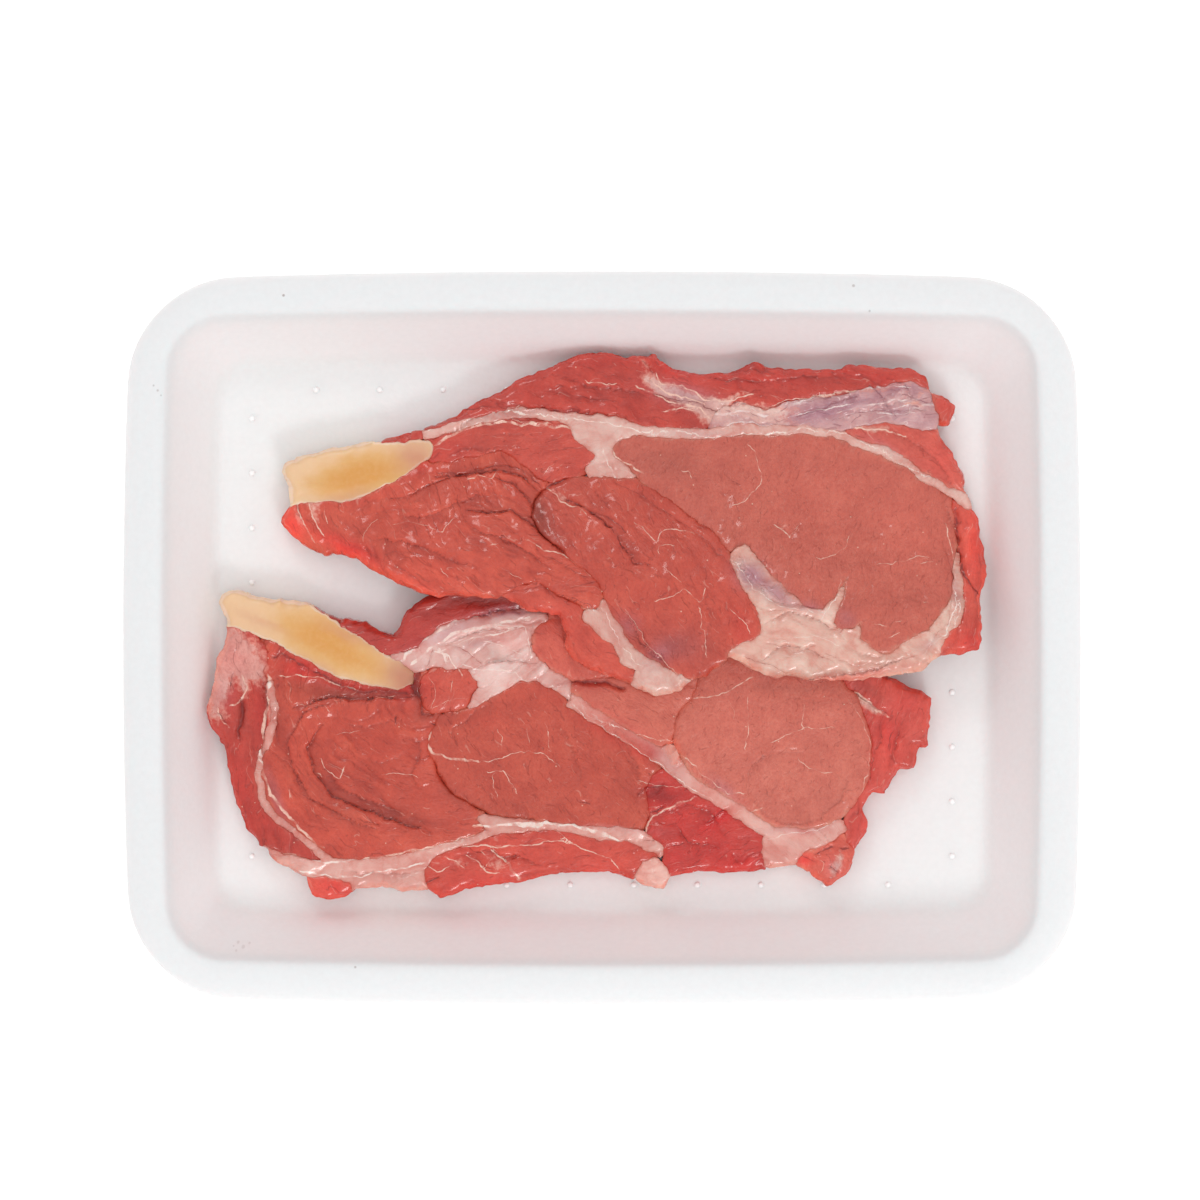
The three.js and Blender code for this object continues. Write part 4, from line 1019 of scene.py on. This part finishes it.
# places rubbed red, and gaps and the line under the upper slice's edge painted deep red as painted shade,
LOWER_BLUSHES_AND_SHADES = [
    (-90, -5, 9, 8, 0, 0.4), (-95, -15, 2, 6, 0, 0.3), (9, -27, 3.4, 1.8, -40, 0.5), (-50, -9, 5, 4, -30, 0.5),
    (-72, -7.2, 7, 1.8, -22, 0.75), (15, -38.6, 5.4, 2.6, -10, 1), (28, -45, 4.5, 1.8, 35, 0.95),
    (34, -55.4, 7, 1.8, 5, 0.7), (24, -53, 7, 2.4, 10, 0.4), (18, -54, 2, 3, 0, 0.4), (71, -24, 2.6, 4.4, 20, 0.6),
    (75, -16, 4, 3, 0, 0.3), (50, -55, 2, 1.6, 0, 0.9), (30, -44, 4, 2, 35, 0.5), (20, -45, 4, 4, 0, 0.4),
    (-58, -12.6, 8, 1.6, -5, 0.5), (-4, -11.6, 6, 1.2, -3, 0.6), (-88.5, -38, 1.8, 10, 10, 0.4),
    (-82, -45, 3, 4, 30, 0.3), (-84, -20, 2, 6, 0, 0.5), (-66, -61.5, 4, 2, 0, 0.5), (-30, -60.5, 10, 2, 12, 0.4),
    (64, -46, 2, 5, -20, 0.3), (66.4, -28, 1.2, 8, 0, 0.35), (-62, 0, 8, 1.4, -25, 0.5),
    (3, -22.5, 10, 2.6, -32, 0.8), (12, -28.5, 3, 2, -40, 0.6), (28, -50, 5, 4, 0, 0.35),
    (-75, -8.6, 4, 1.6, -15, 0.8), (-64, -12, 8, 1.2, -8, 0.4), (-45, -2, 3, 2, 30, 0.3), (0, -56, 8, 2, 0, 0.2),
    (44, -52.6, 4, 1.6, -20, 0.35), (-47, -11.5, 5, 3.6, -30, 0.8), (-84, 4, 8, 1.2, -25, 0.3),
]
# lilac film,
LOWER_LILACS = [
    (-23, 6.4, 7, 1.3, 8, 0.95), (-37, 1.4, 9, 1.4, 22, 0.4), (-30, -1.6, 5, 1, 15, 0.3), (-9, 5.6, 4, 1, -30, 0.3),
    (-93, -14, 2.5, 4, 0, 0.2), (15, -30, 8, 1.2, -40, 0.25), (30, -37, 4, 1.4, -40, 0.35),
    (57, -56, 2.4, 2.4, 0, 0.3), (48, -47.6, 8, 1, 3, 0.3), (5, -47, 8, 0.8, -5, 0.3), (-80, -40, 1.2, 8, 20, 0.3),
]
# fat that lies on or in the lean,
LOWER_FATTIES = [
    (-91, -4, 9, 6, -35, 1.4), (-94.6, -12, 2.6, 6, 0, 1), (-85, -8, 2.4, 1.6, 0, 0.5),
    (-88.4, -11.5, 1.2, 4, 5, 0.5), (-94, -20, 3, 2.4, 0, 0.4), (-96, -16, 1.5, 5, 0, 0.4),
    (-82.4, -19, 1.1, 6, 4, 0.7), (-38, -9, 3, 1.5, 0, 0.3), (-26, -55.4, 3, 2.6, -30, 0.55),
    (-35, -55.6, 4.5, 2, -10, 0.5), (-20.6, -59, 1.6, 1, 0, 0.6), (66, -17, 4.4, 0.9, -35, 1),
    (-72, -59, 2.4, 2, 0, 0.35), (36, -41, 3, 2, 0, 0.4), (12.6, -44.6, 1.6, 2.6, 30, 0.45),
    (18, -41.4, 4, 0.7, 15, 0.6), (57, -56.6, 2, 2.4, 0, 0.8), (58.6, -53.6, 1.2, 2, 0, 0.6),
    (8, -14, 3, 1.4, -25, 0.25), (-5, -15.6, 4, 1, -30, 0.5), (-10.6, -50, 2, 1, -40, 0.35),
    (14, -37, 4, 0.6, -5, 0.45), (63, -43.6, 2, 4, -25, 0.3), (-60.4, -12.8, 8, 0.6, -12, 0.3),
]
# and places where the flesh swells or sinks.
LOWER_SWELLS = [
    (-38, -13, 5, 5, 0, 0.5), (-91, -12, 3, 3, 0, 0.5), (-90, -20, 3, 4, 0, 0.4), (-23, 0, 6, 3, 10, 0.4),
    (-25, -55, 5, 3, -20, 0.5), (-66, -13, 12, 2, -8, -0.5), (-90, -5, 3, 2, 0, 0.6), (-86, -8, 2, 4, 10, 0.5),
    (-93, -18, 2, 3, 0, 0.5), (-28, 9, 9, 2.4, 0, -0.8), (54, -55, 3, 3, 0, 0.5), (-60, -34, 10, 6, -25, -0.2),
    (-12, 1, 4, 4, 0, 0.4), (-4, -6, 5, 2.4, -35, 0.4), (15, -48, 3, 2.4, 0, 0.4), (30, -49, 3.4, 3, 0, 0.4),
    (71, -15, 4, 3, -30, 0.4),
]
# Folds, each with its higher side on the left of its points: height, reach, then the points.
LOWER_FOLDS = [
    (0.5, 2.2, (-64.2, -15.8), (-73.6, -18.5), (-77.3, -25.8), (-76.2, -33.1), (-71.5, -39.4), (-63.2, -44.6),
     (-53.8, -47.8)),
    (0.7, 3.4, (-42.3, -47.8), (-49.6, -45.7), (-59, -42.5), (-66.3, -38.9), (-71.3, -33.1), (-72.6, -26.9),
     (-69, -21.5)),
    (0.4, 1.5, (-68.4, -32.1), (-64.2, -37.3), (-56.9, -40.5), (-48.5, -43.6)),
    (0.7, 1.6, (-46.6, -14.4), (-56.9, -15.4), (-67.3, -14.8), (-75.7, -17.4)),
    (0.3, 1.2, (-66, -20.6), (-58, -21.8), (-51, -20.4), (-46, -21.6)),
    (0.3, 1.4, (-61, -29), (-54, -30.8), (-47, -28.8)),
    (0.35, 1.4, (-46, -22), (-44.6, -28), (-47, -33.5), (-44, -38.6)),
    (0.35, 1.4, (-36.2, -26.4), (-37, -22.7), (-31.8, -18.5), (-25.6, -15.6)),
    (0.3, 1.2, (-12, -19.5), (-7.4, -26), (-5.2, -33), (-5, -38.6)),
    (0.3, 1, (1.4, -19.6), (5.4, -25.6), (8.6, -31), (9.8, -36)),
    (0.3, 1.6, (62, -32.8), (59.2, -39.2), (53.6, -44.4), (46, -46.2), (39.6, -43.4), (36.2, -38)),
    (0.25, 1, (36.2, -38), (36, -33.6), (39, -29.6), (45.6, -28.4), (52, -29)),
    (0.6, 1.6, (-84.6, -8.4), (-82.6, -14), (-83.4, -22), (-84, -30)),
    (0.6, 1.4, (-36, 3.2), (-28, 6.6), (-19.4, 7.8)),
    (0.5, 1.4, (-38.6, -1.8), (-33, 0.8), (-26, 2.2), (-18.6, 2.4)),
    (0.5, 1.2, (-16, -6.6), (-24, -5.6), (-30.6, -7.4)),
    (0.4, 1.2, (10.4, -44), (16, -42.4), (22, -41), (27, -43.4), (30.6, -48.6)),
    (0.5, 1.2, (17.6, -46), (21.6, -50), (28.4, -51.6)), (0.5, 1.2, (69.6, -18), (69.2, -24.6), (67, -31)),
    (0.4, 1.2, (74, -20), (73, -26), (71, -31.4)), (0.5, 1.2, (-36, -54), (-29, -52.8), (-21, -53.6), (-14, -56.4)),
    (0.4, 1, (-64, -57.4), (-54, -58.4), (-44, -57)),
]
carve_slice(
    LOWER_PIECES, lower_top, veins=LOWER_VEINS, creases=LOWER_SHADED_CREASES, tones=LOWER_TONES_AND_SHADES, blushes=LOWER_BLUSHES_AND_SHADES,
    lilacs=LOWER_LILACS, fatties=LOWER_FATTIES, swells=LOWER_SWELLS, folds=LOWER_FOLDS,
)

# ------------------------------------------------------------------ upper slice
# The second slice was laid half over the first, so its back edge rests on the tray
# and its front edge climbs. Its big pale eye is the loin end of the same joint.

CLIMB = 30.0
STACKED_RISE = 9.3


def lift(x, y):
    """How far the lower slice holds this one up."""
    lower_edge = 10 - 0.17 * x - np.maximum(-40 - x, 0)
    return smoothstep(lower_edge + 33 - y, 0, CLIMB) * STACKED_RISE


def upper_top(x, y):
    return SLICE_TOP + lift(x, y) + hollow(x + 40, y)


def silverskin_material(name, colour, hairs):
    """A taut film of sinew over fat: cream at one end, bluish lilac in the middle, with lengthwise threads."""
    return raw_material(
        name, colour, deeper=(0.84, 0.78, 0.84), paler=(1.14, 1.3, 1.3), border=paint(214, 160, 152),
        blush=paint(206, 110, 100), vein=paint(236, 212, 208), crease=paint(150, 84, 92), hairs=hairs, mottled=0.8,
        gloss=0.24, soft=0.2,
    )


MATERIALS["silverskin"] = silverskin_material
UPPER_PIECES = {
    "upper_cartilage": gristle(
        228, 172, 108, straight(8), crown=0.2, ambers=[(-58, 40.4, 11, 4.6, 9, 1.1), (-68, 37.6, 7, 3, 5, 0.3)]
    ),
    "upper_cap_muscle": lean(191, 70, 60, straight(-14), ridge=0.3),
    "upper_tab": lean(205, 92, 82, straight(60), ridge=0.3),
    "upper_right_muscle": lean(210, 101, 92, straight(-35)),
    "upper_edge_muscle": lean(212, 92, 80, straight(85), ridge=0.3),
    "upper_eye_muscle": lean(197, 107, 96, straight(75, 1.6), ridge=0.06, hairs=0.1),
    "upper_middle_muscle": lean(197, 87, 73, straight(-55, 2.6), ridge=0.16, hairs=0.3),
    "upper_shoulder_muscle": lean(201, 84, 72, straight(10), ridge=0.25),
    "upper_lower_muscle": lean(208, 92, 78, straight(-40), ridge=0.25),
    "upper_left_muscle": lean(203, 90, 74, swirling(-8, 46, 1.2, -20), ridge=0.3),
    "upper_seam_fat": fat(220, 172, 161, straight(-8), ridge=0.25, lip=-0.1, lumps=0.16),
    "upper_fat_lump": fat(222, 174, 159, straight(-20), ridge=0.3, lip=0.1, lumps=0.34),
    "upper_bottom_fat": fat(218, 170, 158, straight(-50), ridge=0.3, lip=0.0, lumps=0.24),
    "upper_silverskin": piece_of("silverskin")(
        208, 156, 153, straight(7), ridge=0.45, lumps=0.3, lip=0.0, hairs=0.8
    ),
}

# The same marks as on the lower slice, in the same order and units.
UPPER_VEINS = [
    (1.1, 0.5, (46, 56.6), (52, 59), (60, 60.6), (68, 61)),
    (0.9, 0.45, (58, 55.4), (65, 56.8), (72, 58.4), (78, 58.8)), (0.8, 0.5, (68, 55.4), (74, 55), (79, 57)),
    (0.3, 0.6, (46, 54.4), (54, 56.6), (62, 57.4)), (0.4, 0.5, (64, 60.2), (70, 61.6), (76, 61.4)),
    (0.35, 0.5, (70, 56), (75, 57.4), (79.6, 57)),
    (0.7, 0.7, (-41, 47.6), (-34, 51), (-26, 52.6), (-17, 52.6), (-8, 51.4)),
    (0.5, 0.7, (28, 54.6), (34, 55.6), (41, 55)), (0.6, 0.7, (30, 52.6), (36, 53.2), (44, 52.4)),
    (0.5, 0.7, (0, 46), (2, 42), (4, 39)), (0.5, 0.6, (3, 46.6), (6, 43.6), (10, 41)),
    (0.15, 0.9, (36.3, 47), (37.7, 46), (38.3, 44), (38.7, 41.5), (39.7, 39), (39.3, 37.5), (38, 36), (36.5, 35),
     (36, 33.7), (34.7, 33), (32.5, 32)),
    (0.12, 0.7, (20, 41), (21.5, 41), (22, 39.5)), (0.45, 0.55, (42.5, 28), (44.5, 26.7), (46, 25)),
    (0.16, 0.5, (46, 25), (48.7, 27.5)), (0.14, 0.8, (53, 19.3), (55, 19.7), (57.5, 20.5), (59.5, 22), (60.7, 25)),
    (0.14, 0.7, (67.5, 18), (70.5, 18), (73, 19), (77, 20), (80, 19.3)), (0.12, 0.6, (78.5, 18.3), (81, 18.5)),
    (0.18, 0.8, (66.7, 2.9), (69.3, 2.6)), (0.14, 0.7, (72.1, 3.4), (73.3, 3.7)),
    (0.16, 0.7, (70.3, -0.3), (72.3, 0.7)), (0.12, 0.6, (79, 9.2), (80, 9)),
    (0.14, 0.8, (8.3, 28.3), (10, 27.5), (11.5, 25.3), (13, 23.7), (14, 22), (14.1, 20.7)),
    (0.16, 0.8, (13.3, 23), (14, 25.5), (16.3, 26.5), (20.3, 26.5), (22, 25.7)),
    (0.12, 0.6, (13.5, 22.7), (17, 22.5)), (0.12, 0.6, (18.3, 23.7), (19.8, 22.2)),
    (0.13, 0.7, (15.2, 17.1), (17, 15.3), (18.7, 13.7)),
    (0.15, 0.9, (13.7, 9.3), (17, 10.3), (19.8, 11.8), (22, 10), (24, 8.7), (25, 9.5), (25.3, 12.3)),
    (0.14, 0.8, (24, 7), (24.5, 4), (24.3, 2.5)), (0.14, 0.8, (25, 2), (25.7, -1), (25.5, -4)),
    (0.16, 0.8, (31.3, 7), (33, 5.5), (35, 3.5), (36, 1.7)),
    (0.12, 0.7, (-51, 28), (-47.3, 28.3), (-42.7, 27.3), (-39, 26), (-37.3, 28), (-36.7, 29.3)),
    (0.12, 0.6, (-58.7, 23.7), (-57.7, 27), (-55.7, 29.3)), (0.14, 0.7, (-39.3, 17), (-38, 15.5)),
    (0.14, 0.6, (-23, 16), (-19.7, 15)), (0.16, 0.8, (-33, 38.7), (-30.3, 39.7), (-27.3, 39), (-26, 40.3)),
    (0.14, 0.6, (-14, 41), (-12, 43)), (0.3, 0.8, (-27, 22.6), (-26.4, 22.8)),
    (0.22, 0.8, (-3.7, 63.3), (0, 62.9), (3, 62.5)), (0.5, 0.5, (-18, 23.7), (-13, 21.4), (-8, 19.4)),
    (0.2, 0.5, (-8, 19.4), (-3, 14.7)), (0.22, 0.55, (-16.7, 13.7), (-10, 10), (-5.3, 7.7), (-2, 6.3)),
    (0.4, 0.7, (-75.4, 33), (-73.5, 28.5), (-71, 24)), (0.3, 0.7, (-72, 32.4), (-70.6, 29), (-68.4, 25.6)),
    (0.22, 0.6, (-68.6, 31.6), (-67.6, 28.6)),
    (0.4, 0.8, (8, 61.5), (12.7, 60), (16, 58.5), (22, 57), (25, 55.7), (27, 54)),
    (0.4, 0.8, (13.5, 65), (14.5, 63), (17, 62.3), (22, 61), (25, 59), (28, 58.3)),
    (0.3, 0.7, (28, 58.3), (33.3, 58.7), (37, 60)), (0.3, 0.8, (15, 56), (20, 56.3), (23, 55.5)),
    (0.35, 0.7, (12, 63.4), (16, 60.4), (20, 59), (25, 57.4)),
    (0.4, 0.75, (-13.5, 37), (-10, 33.5), (-6, 32), (-4, 30)),
    (0.25, 0.6, (-44, 50.4), (-34, 54.2), (-22, 56), (-12, 54.6), (0, 53), (12, 51)),
    (0.2, 0.5, (-36, 51.2), (-22, 53.8), (-12, 52.4)),
    (0.3, 0.5, (12, 50.6), (26, 49.8), (38, 50.8), (50, 51.4), (60, 50), (68, 46.4), (78, 40.8), (88, 36)),
    (0.5, 0.6, (62, 51.6), (68, 51.2), (75, 49.8)),
    (0.25, 0.6, (84.6, 28), (86.4, 18), (86.6, 8), (84, 1), (78, -4)), (0.25, 0.5, (86, 14), (87.4, 8), (86, 2.6)),
    (0.2, 0.6, (58, 14), (57, 9), (53, 4)), (0.2, 0.5, (63, 4), (61, 1.6), (58, 0.6)),
    (0.25, 0.5, (33, 19), (37, 12), (44, 8), (52, 6)), (0.2, 0.45, (44, -1), (52, 1), (58, -2)),
    (0.25, 0.5, (6, 7.4), (10, 0), (15, -5.6), (19, -9)), (0.2, 0.5, (0, 7.4), (4, -1), (10, -7)),
    (0.2, 0.6, (36, 56), (46, 58.8), (58, 60.4), (70, 61.4)),
]
# Dark creases as on the lower slice, painted shade in their grooves.
UPPER_SHADED_CREASES = [
    (0.3, 0.7, (48, 54.6), (56, 57.4), (63, 58.6)), (0.3, 0.7, (66, 61.6), (70, 58), (72, 55)),
    (0.25, 0.6, (58, 53.8), (68, 56), (80, 56)), (0.3, 0.6, (75, 62), (77, 59), (81, 57.6)),
    (0.45, 1.2, (-9, 20.9), (-12.4, 23.4), (-15.3, 26.3), (-17.2, 29.7), (-17, 33), (-15, 35.9)),
    (0.4, 0.9, (-15, 35.9), (-12, 37.6), (-8, 38.8)),
    (0.28, 0.9, (-9, 34.2), (-7, 33.3), (-2, 30), (2, 26.9), (4, 24.7), (5.3, 22.3), (7, 20.7), (8, 18.2),
     (11.7, 18.1)),
    (0.18, 0.5, (-4, 31.4), (1.4, 29.6), (5.6, 26)),
    (0.16, 0.45, (3, 38), (10, 34.6), (18, 29.6), (25, 24), (31, 18.4), (35, 11), (38, 4)),
    (0.2, 0.5, (30.5, 40.5), (32, 38.5), (34, 38)), (0.18, 0.4, (28, 36.6), (30, 35.6)),
    (0.3, 0.6, (27.7, 55.8), (23, 57.6), (18, 58.8), (12.7, 60)),
    (0.4, 0.9, (87.6, 32), (87.9, 25), (88.4, 19), (90, 14), (92.5, 11)), (0.3, 0.6, (-25, 24.8), (-24, 24.7)),
    (0.3, 0.6, (-41, 40.8), (-34, 40.2), (-26, 42.4), (-20, 41.4), (-14.6, 37.2)),
    (0.2, 0.35, (-28, 36), (-21, 33.6), (-18, 30)), (0.2, 0.35, (-36, 34), (-29, 32), (-24, 28), (-20, 24)),
    (0.2, 0.3, (-60, 30), (-52, 31.4), (-44, 31.6)), (0.2, 0.3, (-52, 21), (-42, 20.4), (-32, 18)),
    (0.2, 0.3, (-66, 24.6), (-56, 20.2), (-46, 15)), (0.2, 0.4, (-16, 21.6), (-9, 17.8), (-2.6, 13.2)),
    (0.2, 0.5, (-22, 11), (-14, 12.4), (-6, 9.4), (0, 6.6)),
    (0.2, 0.5, (-42, 48.6), (-30, 53), (-18, 54), (-8, 51.8)),
    (0.16, 0.3, (62, 51), (70, 45.6), (80, 40.4), (89.6, 34.4)),
    (0.25, 0.5, (-48, 51), (-36, 56), (-22, 57.6), (-6, 56), (10, 52.6)),
    (0.2, 0.5, (83, 52.6), (81.8, 57), (80, 62)), (0.25, 0.4, (20, 66), (34, 65.6), (50, 66.4)),
    (0.3, 0.5, (10, 68), (12.4, 65.6)), (0.25, 0.4, (-18, 60.6), (-8, 60), (4, 58)),
    (0.2, 0.45, (33, 20.6), (38, 13.6), (46, 8.4), (52, 7.6)), (0.2, 0.4, (41, -1), (47, -4), (52, -2)),
    (0.25, 0.5, (35, -5), (41, -7), (47, -9)), (0.2, 0.4, (55, -4), (62, -6.4), (70, -6)),
    (0.2, 0.4, (84, 24), (86, 14), (85, 4), (80, -2)), (0.2, 0.5, (7, 5), (11.6, -2), (16, -7)),
    (0.18, 0.35, (46, 57), (54, 59), (60, 58)), (0.18, 0.35, (66, 56), (70, 59.6), (74, 61)),
    (0.2, 0.3, (22, -6.4), (23.6, -8), (24, -9.6)),
]
# Darker and lighter places, partly the flesh's own tone and partly painted shade in hollows.
UPPER_TONES_AND_SHADES = [
    (91, 22, 1.6, 8, 0, 0.3), (28, 12, 4, 6, 20, 0.08), (-40, 17, 8, 2.4, -20, 0.06), (-76.6, 27.6, 3, 5, 20, 0.45),
    (-66, 22.6, 7, 1.6, -28, 0.28), (-52, 15.6, 10, 1.4, -25, 0.2), (-40, 14, 14, 5, -15, 0.12),
    (-45, 30, 12, 6, -10, 0.08), (77, 26, 10, 12, 0, 0.1), (50, 24, 16, 12, 0, 0.03), (16, 43, 8, 4, -10, -0.05),
    (17, 43, 12, 5, -10, -0.1), (55, 34, 14, 9, 0, 0.02), (75, 24, 8, 10, 0, 0.02), (20, -2, 9, 4.5, -10, -0.16),
    (0, 35, 8, 3, -20, -0.06), (-14, 27, 3.4, 6, 30, -0.1), (-15.4, 31, 1.8, 5, 18, -0.36), (33, 4, 4, 6, 20, 0.05),
    (-30, 30, 9, 4, -10, -0.08), (-60, 33, 7, 3, 0, -0.05), (-34, 47, 6, 3, 20, -0.1), (-28, 42.6, 8, 2, 5, -0.06),
    (-10, 60, 14, 3, 15, 0.02), (50, 64.6, 16, 3, 0, -0.06), (12, 66, 4, 2, 0, -0.05),
    (70, 49.6, 6, 1.6, -30, -0.1), (91, 5, 2, 5, 0, -0.06), (-10, 8, 6, 3, -30, 0.04), (0, -3, 4, 4, -40, 0.03),
    (-18, 10.6, 6, 1.6, -10, -0.06), (48, 4, 6, 4, 0, 0.04), (60, -6, 10, 2.4, 0, 0.03),
    (45, -9.4, 14, 1.2, 0, -0.12), (-66, 36, 6, 1.2, 5, 0.05),
]
UPPER_BLUSHES = [
    (-46, 44.5, 5, 4, 0, 0.85), (-63, 34.6, 9, 2, 8, 0.45), (-60, 22, 7, 1.8, -28, 0.5),
    (-76.4, 28, 2.6, 4, 20, 0.7), (-66, 23.6, 8, 2, -28, 0.5), (-46, 13.4, 8, 1.6, -25, 0.25),
    (90, -1, 4, 4, 0, 0.6), (92, 22, 1.6, 8, 0, 0.35), (34, 2.6, 3, 5, 10, 0.35), (18, 66, 8, 2.4, -10, 0.5),
    (40, 63.4, 14, 2, 0, 0.4), (66, 64.6, 10, 1.6, -8, 0.4), (-36, 47, 4, 3, 10, 0.4), (-12, 4, 6, 3, -35, 0.25),
    (84.6, 57, 2, 2, 0, 0.3), (46, -10, 14, 0.9, 0, 0.6), (66, -8.4, 10, 1, 12, 0.6), (84, 44, 4, 3, -45, 0.3),
    (0, 68, 10, 1.4, 5, 0.25), (-60, 20.4, 6, 1.4, -25, 0.4),
]
UPPER_LILACS = [
    (53, 55.6, 8, 2.4, 8, 0.8), (64, 58, 6, 1.6, 14, 0.5), (73, 56, 4, 1.2, 0, 0.5), (74, 61.6, 5, 0.9, 0, 0.4),
    (36, 15.6, 4, 3.4, -40, 0.75), (44, 10.4, 5, 1.8, -35, 0.6), (40, 13, 5, 2.4, -40, 0.3),
    (51, 7.6, 3, 1.4, -10, 0.5), (20, 59.6, 8, 2.6, -15, 0.55), (14, -4, 3, 4, -40, 0.4), (6, 3, 3, 3, -50, 0.35),
    (19.6, -2, 6, 4, 0, 0.16), (70, 47, 6, 1, -30, 0.3), (86.6, 12, 1, 5, 0, 0.4), (80, -1.6, 3, 1.4, 30, 0.3),
    (60, 5, 2, 2.6, 40, 0.3), (26, 50, 10, 0.8, 0, 0.3), (-24, 55, 14, 0.7, 4, 0.25),
]
UPPER_FATTIES = [
    (72, 61.6, 5, 1.2, 10, 0.6), (77, 57.4, 3, 1, 0, 0.6), (48, 55.6, 5, 1.2, 5, 0.55), (66, 60.6, 4, 0.9, 12, 0.5),
    (60, 55.4, 6, 0.8, 8, 0.5), (40, 53.6, 4, 2.4, 0, 0.8), (10.6, 68, 2.6, 1.4, -30, 0.6),
    (19, 59.6, 10, 2.8, -22, 0.8), (12.6, 63.4, 3.4, 1.8, -40, 0.6), (27, 56.6, 5, 2.6, -10, 0.8),
    (33, 59.4, 4, 0.8, 15, 0.5), (35, 54.4, 9, 3.6, 6, 1.1), (79, 60.4, 3.4, 1.8, 20, 0.5),
    (64, 58, 6, 0.8, 14, 0.3), (45, 52.6, 8, 1, 0, 0.6), (-74.6, 29, 1.4, 4.4, 22, 0.6),
    (-70.6, 30, 1.6, 3.4, 20, 0.6), (-70, 33, 5, 1.2, 8, 0.4), (-10, 34.6, 5, 1, -40, 0.6),
    (44.6, 27, 2.4, 1, 40, 0.5), (67, 51.4, 6, 1, -5, 0.75), (-34, 51.6, 8, 1, 12, 0.3), (36, 4, 2.6, 3.6, 0, 0.45),
    (57.6, 23, 5, 3, 0, 0.22), (88, 33.4, 2, 1.6, -45, 0.4), (-3, 12, 4, 0.8, -35, 0.35),
    (82, 60, 1.6, 1, -40, 0.4), (46, 66.6, 3, 0.6, 0, 0.3), (60, 66.2, 4, 0.5, 0, 0.3), (-46, 50, 5, 0.6, 18, 0.35),
    (91, 32, 1.6, 1.6, 0, 0.4),
]
UPPER_SWELLS = [
    (51, 57, 4, 1.6, 20, 0.5), (62, 60, 4, 1.4, 10, 0.5), (61, 56, 4, 1.2, 10, 0.4), (73, 60, 3, 1.6, 60, 0.5),
    (76, 55.6, 3, 1.2, 0, 0.5), (68, 55, 2, 1.4, 50, -0.4), (-14.4, 30, 2, 6, 25, -0.7), (46, 3, 7, 4, 0, 0.3),
    (60, -4, 8, 3, 0, 0.3), (-30, 46, 8, 3, 15, 0.3), (13, 69.6, 1.5, 1.5, 0, 0.8), (-28, 30, 6, 5, -10, 0.3),
    (-50, 27, 8, 3, 0, 0.2), (-8, 33, 4, 1.5, -30, -0.3), (18, 60, 8, 1.6, -15, -0.3),
]
UPPER_FOLDS = [
    (0.7, 1.8, (-15.6, 36), (-20, 39.6), (-26.2, 41), (-33, 40), (-41, 39.6)),
    (0.6, 1.6, (-17.2, 30.1), (-18.6, 33.9), (-21.4, 37.2), (-26.2, 39.4)),
    (0.7, 2, (-9, 20), (-13, 23.6), (-17.7, 27.8), (-22.4, 31.1), (-28, 30.3), (-33, 31.6)),
    (0.5, 1.8, (-33.7, 28.7), (-30, 25.9), (-24.3, 24), (-18.6, 21.4), (-13, 17.4)),
    (0.5, 1.8, (-52, 33.6), (-45, 36.3), (-38.4, 39.1), (-31.8, 41.4)),
    (0.4, 1.6, (-57.6, 24), (-50, 23.6), (-43, 22), (-36, 18.6), (-30, 17)),
    (0.35, 1.4, (-50, 30.4), (-44, 29.4), (-38, 32), (-32, 34.6), (-26, 35)),
    (0.3, 1.4, (-62, 31), (-57, 33.6), (-51, 33.8)), (0.5, 1.6, (-22, 15), (-14, 12), (-7, 9), (-2, 6.4)),
    (0.4, 1.4, (-20.6, 47.4), (-25, 45.6), (-31, 46.4), (-38, 45)), (0.3, 1.2, (-28, 49.8), (-20, 50.4), (-12, 48)),
    (0.4, 1.4, (11.7, 17.6), (8, 19), (4.6, 24.6), (-2, 30), (-9, 34.4)),
    (0.3, 1.4, (24, -8), (25.6, -1), (26, 6), (24, 12.6)), (0.25, 1.2, (12, 12), (8, 15.6), (3, 18), (-3, 19)),
    (0.5, 1.4, (-40, 50), (-30, 54.6), (-18, 57), (-6, 56.6), (6, 54.4)),
    (0.4, 1.4, (-14, 61), (-4, 62.4), (6, 61), (12, 58.6)),
    (0.4, 1.2, (28, 64), (40, 63.2), (50, 64.6), (60, 64.2)), (0.4, 1.2, (84, 34), (87.6, 25), (88.6, 15), (88, 4)),
    (0.4, 1.2, (70, 52), (78, 47.6), (84.6, 41), (88.6, 34.6)),
    (0.6, 1.2, (76, -4.4), (66, -8), (54, -10), (42, -10.4)), (0.5, 1.4, (40, 4), (46, 6.4), (53, 4.6), (58, 1)),
    (0.5, 1.4, (38, -6), (44, -2), (51, -3.2), (57, -6)), (0.4, 1.4, (60, -2), (66, -4.6), (73, -4)),
    (0.4, 1.2, (32, 20.6), (36.6, 14), (42, 9.4), (49, 7.6)), (0.5, 1.2, (6, 5.6), (9, 0), (13, -4.4), (17, -7.4)),
    (0.4, 1.2, (30, 57), (42, 57.6), (54, 60), (64, 61)), (0.35, 1.2, (66, 57), (72, 57.6), (78, 60.4)),
]
carve_slice(
    UPPER_PIECES, upper_top, veins=UPPER_VEINS, creases=UPPER_SHADED_CREASES, tones=UPPER_TONES_AND_SHADES, blushes=UPPER_BLUSHES,
    lilacs=UPPER_LILACS, fatties=UPPER_FATTIES, swells=UPPER_SWELLS, folds=UPPER_FOLDS,
)
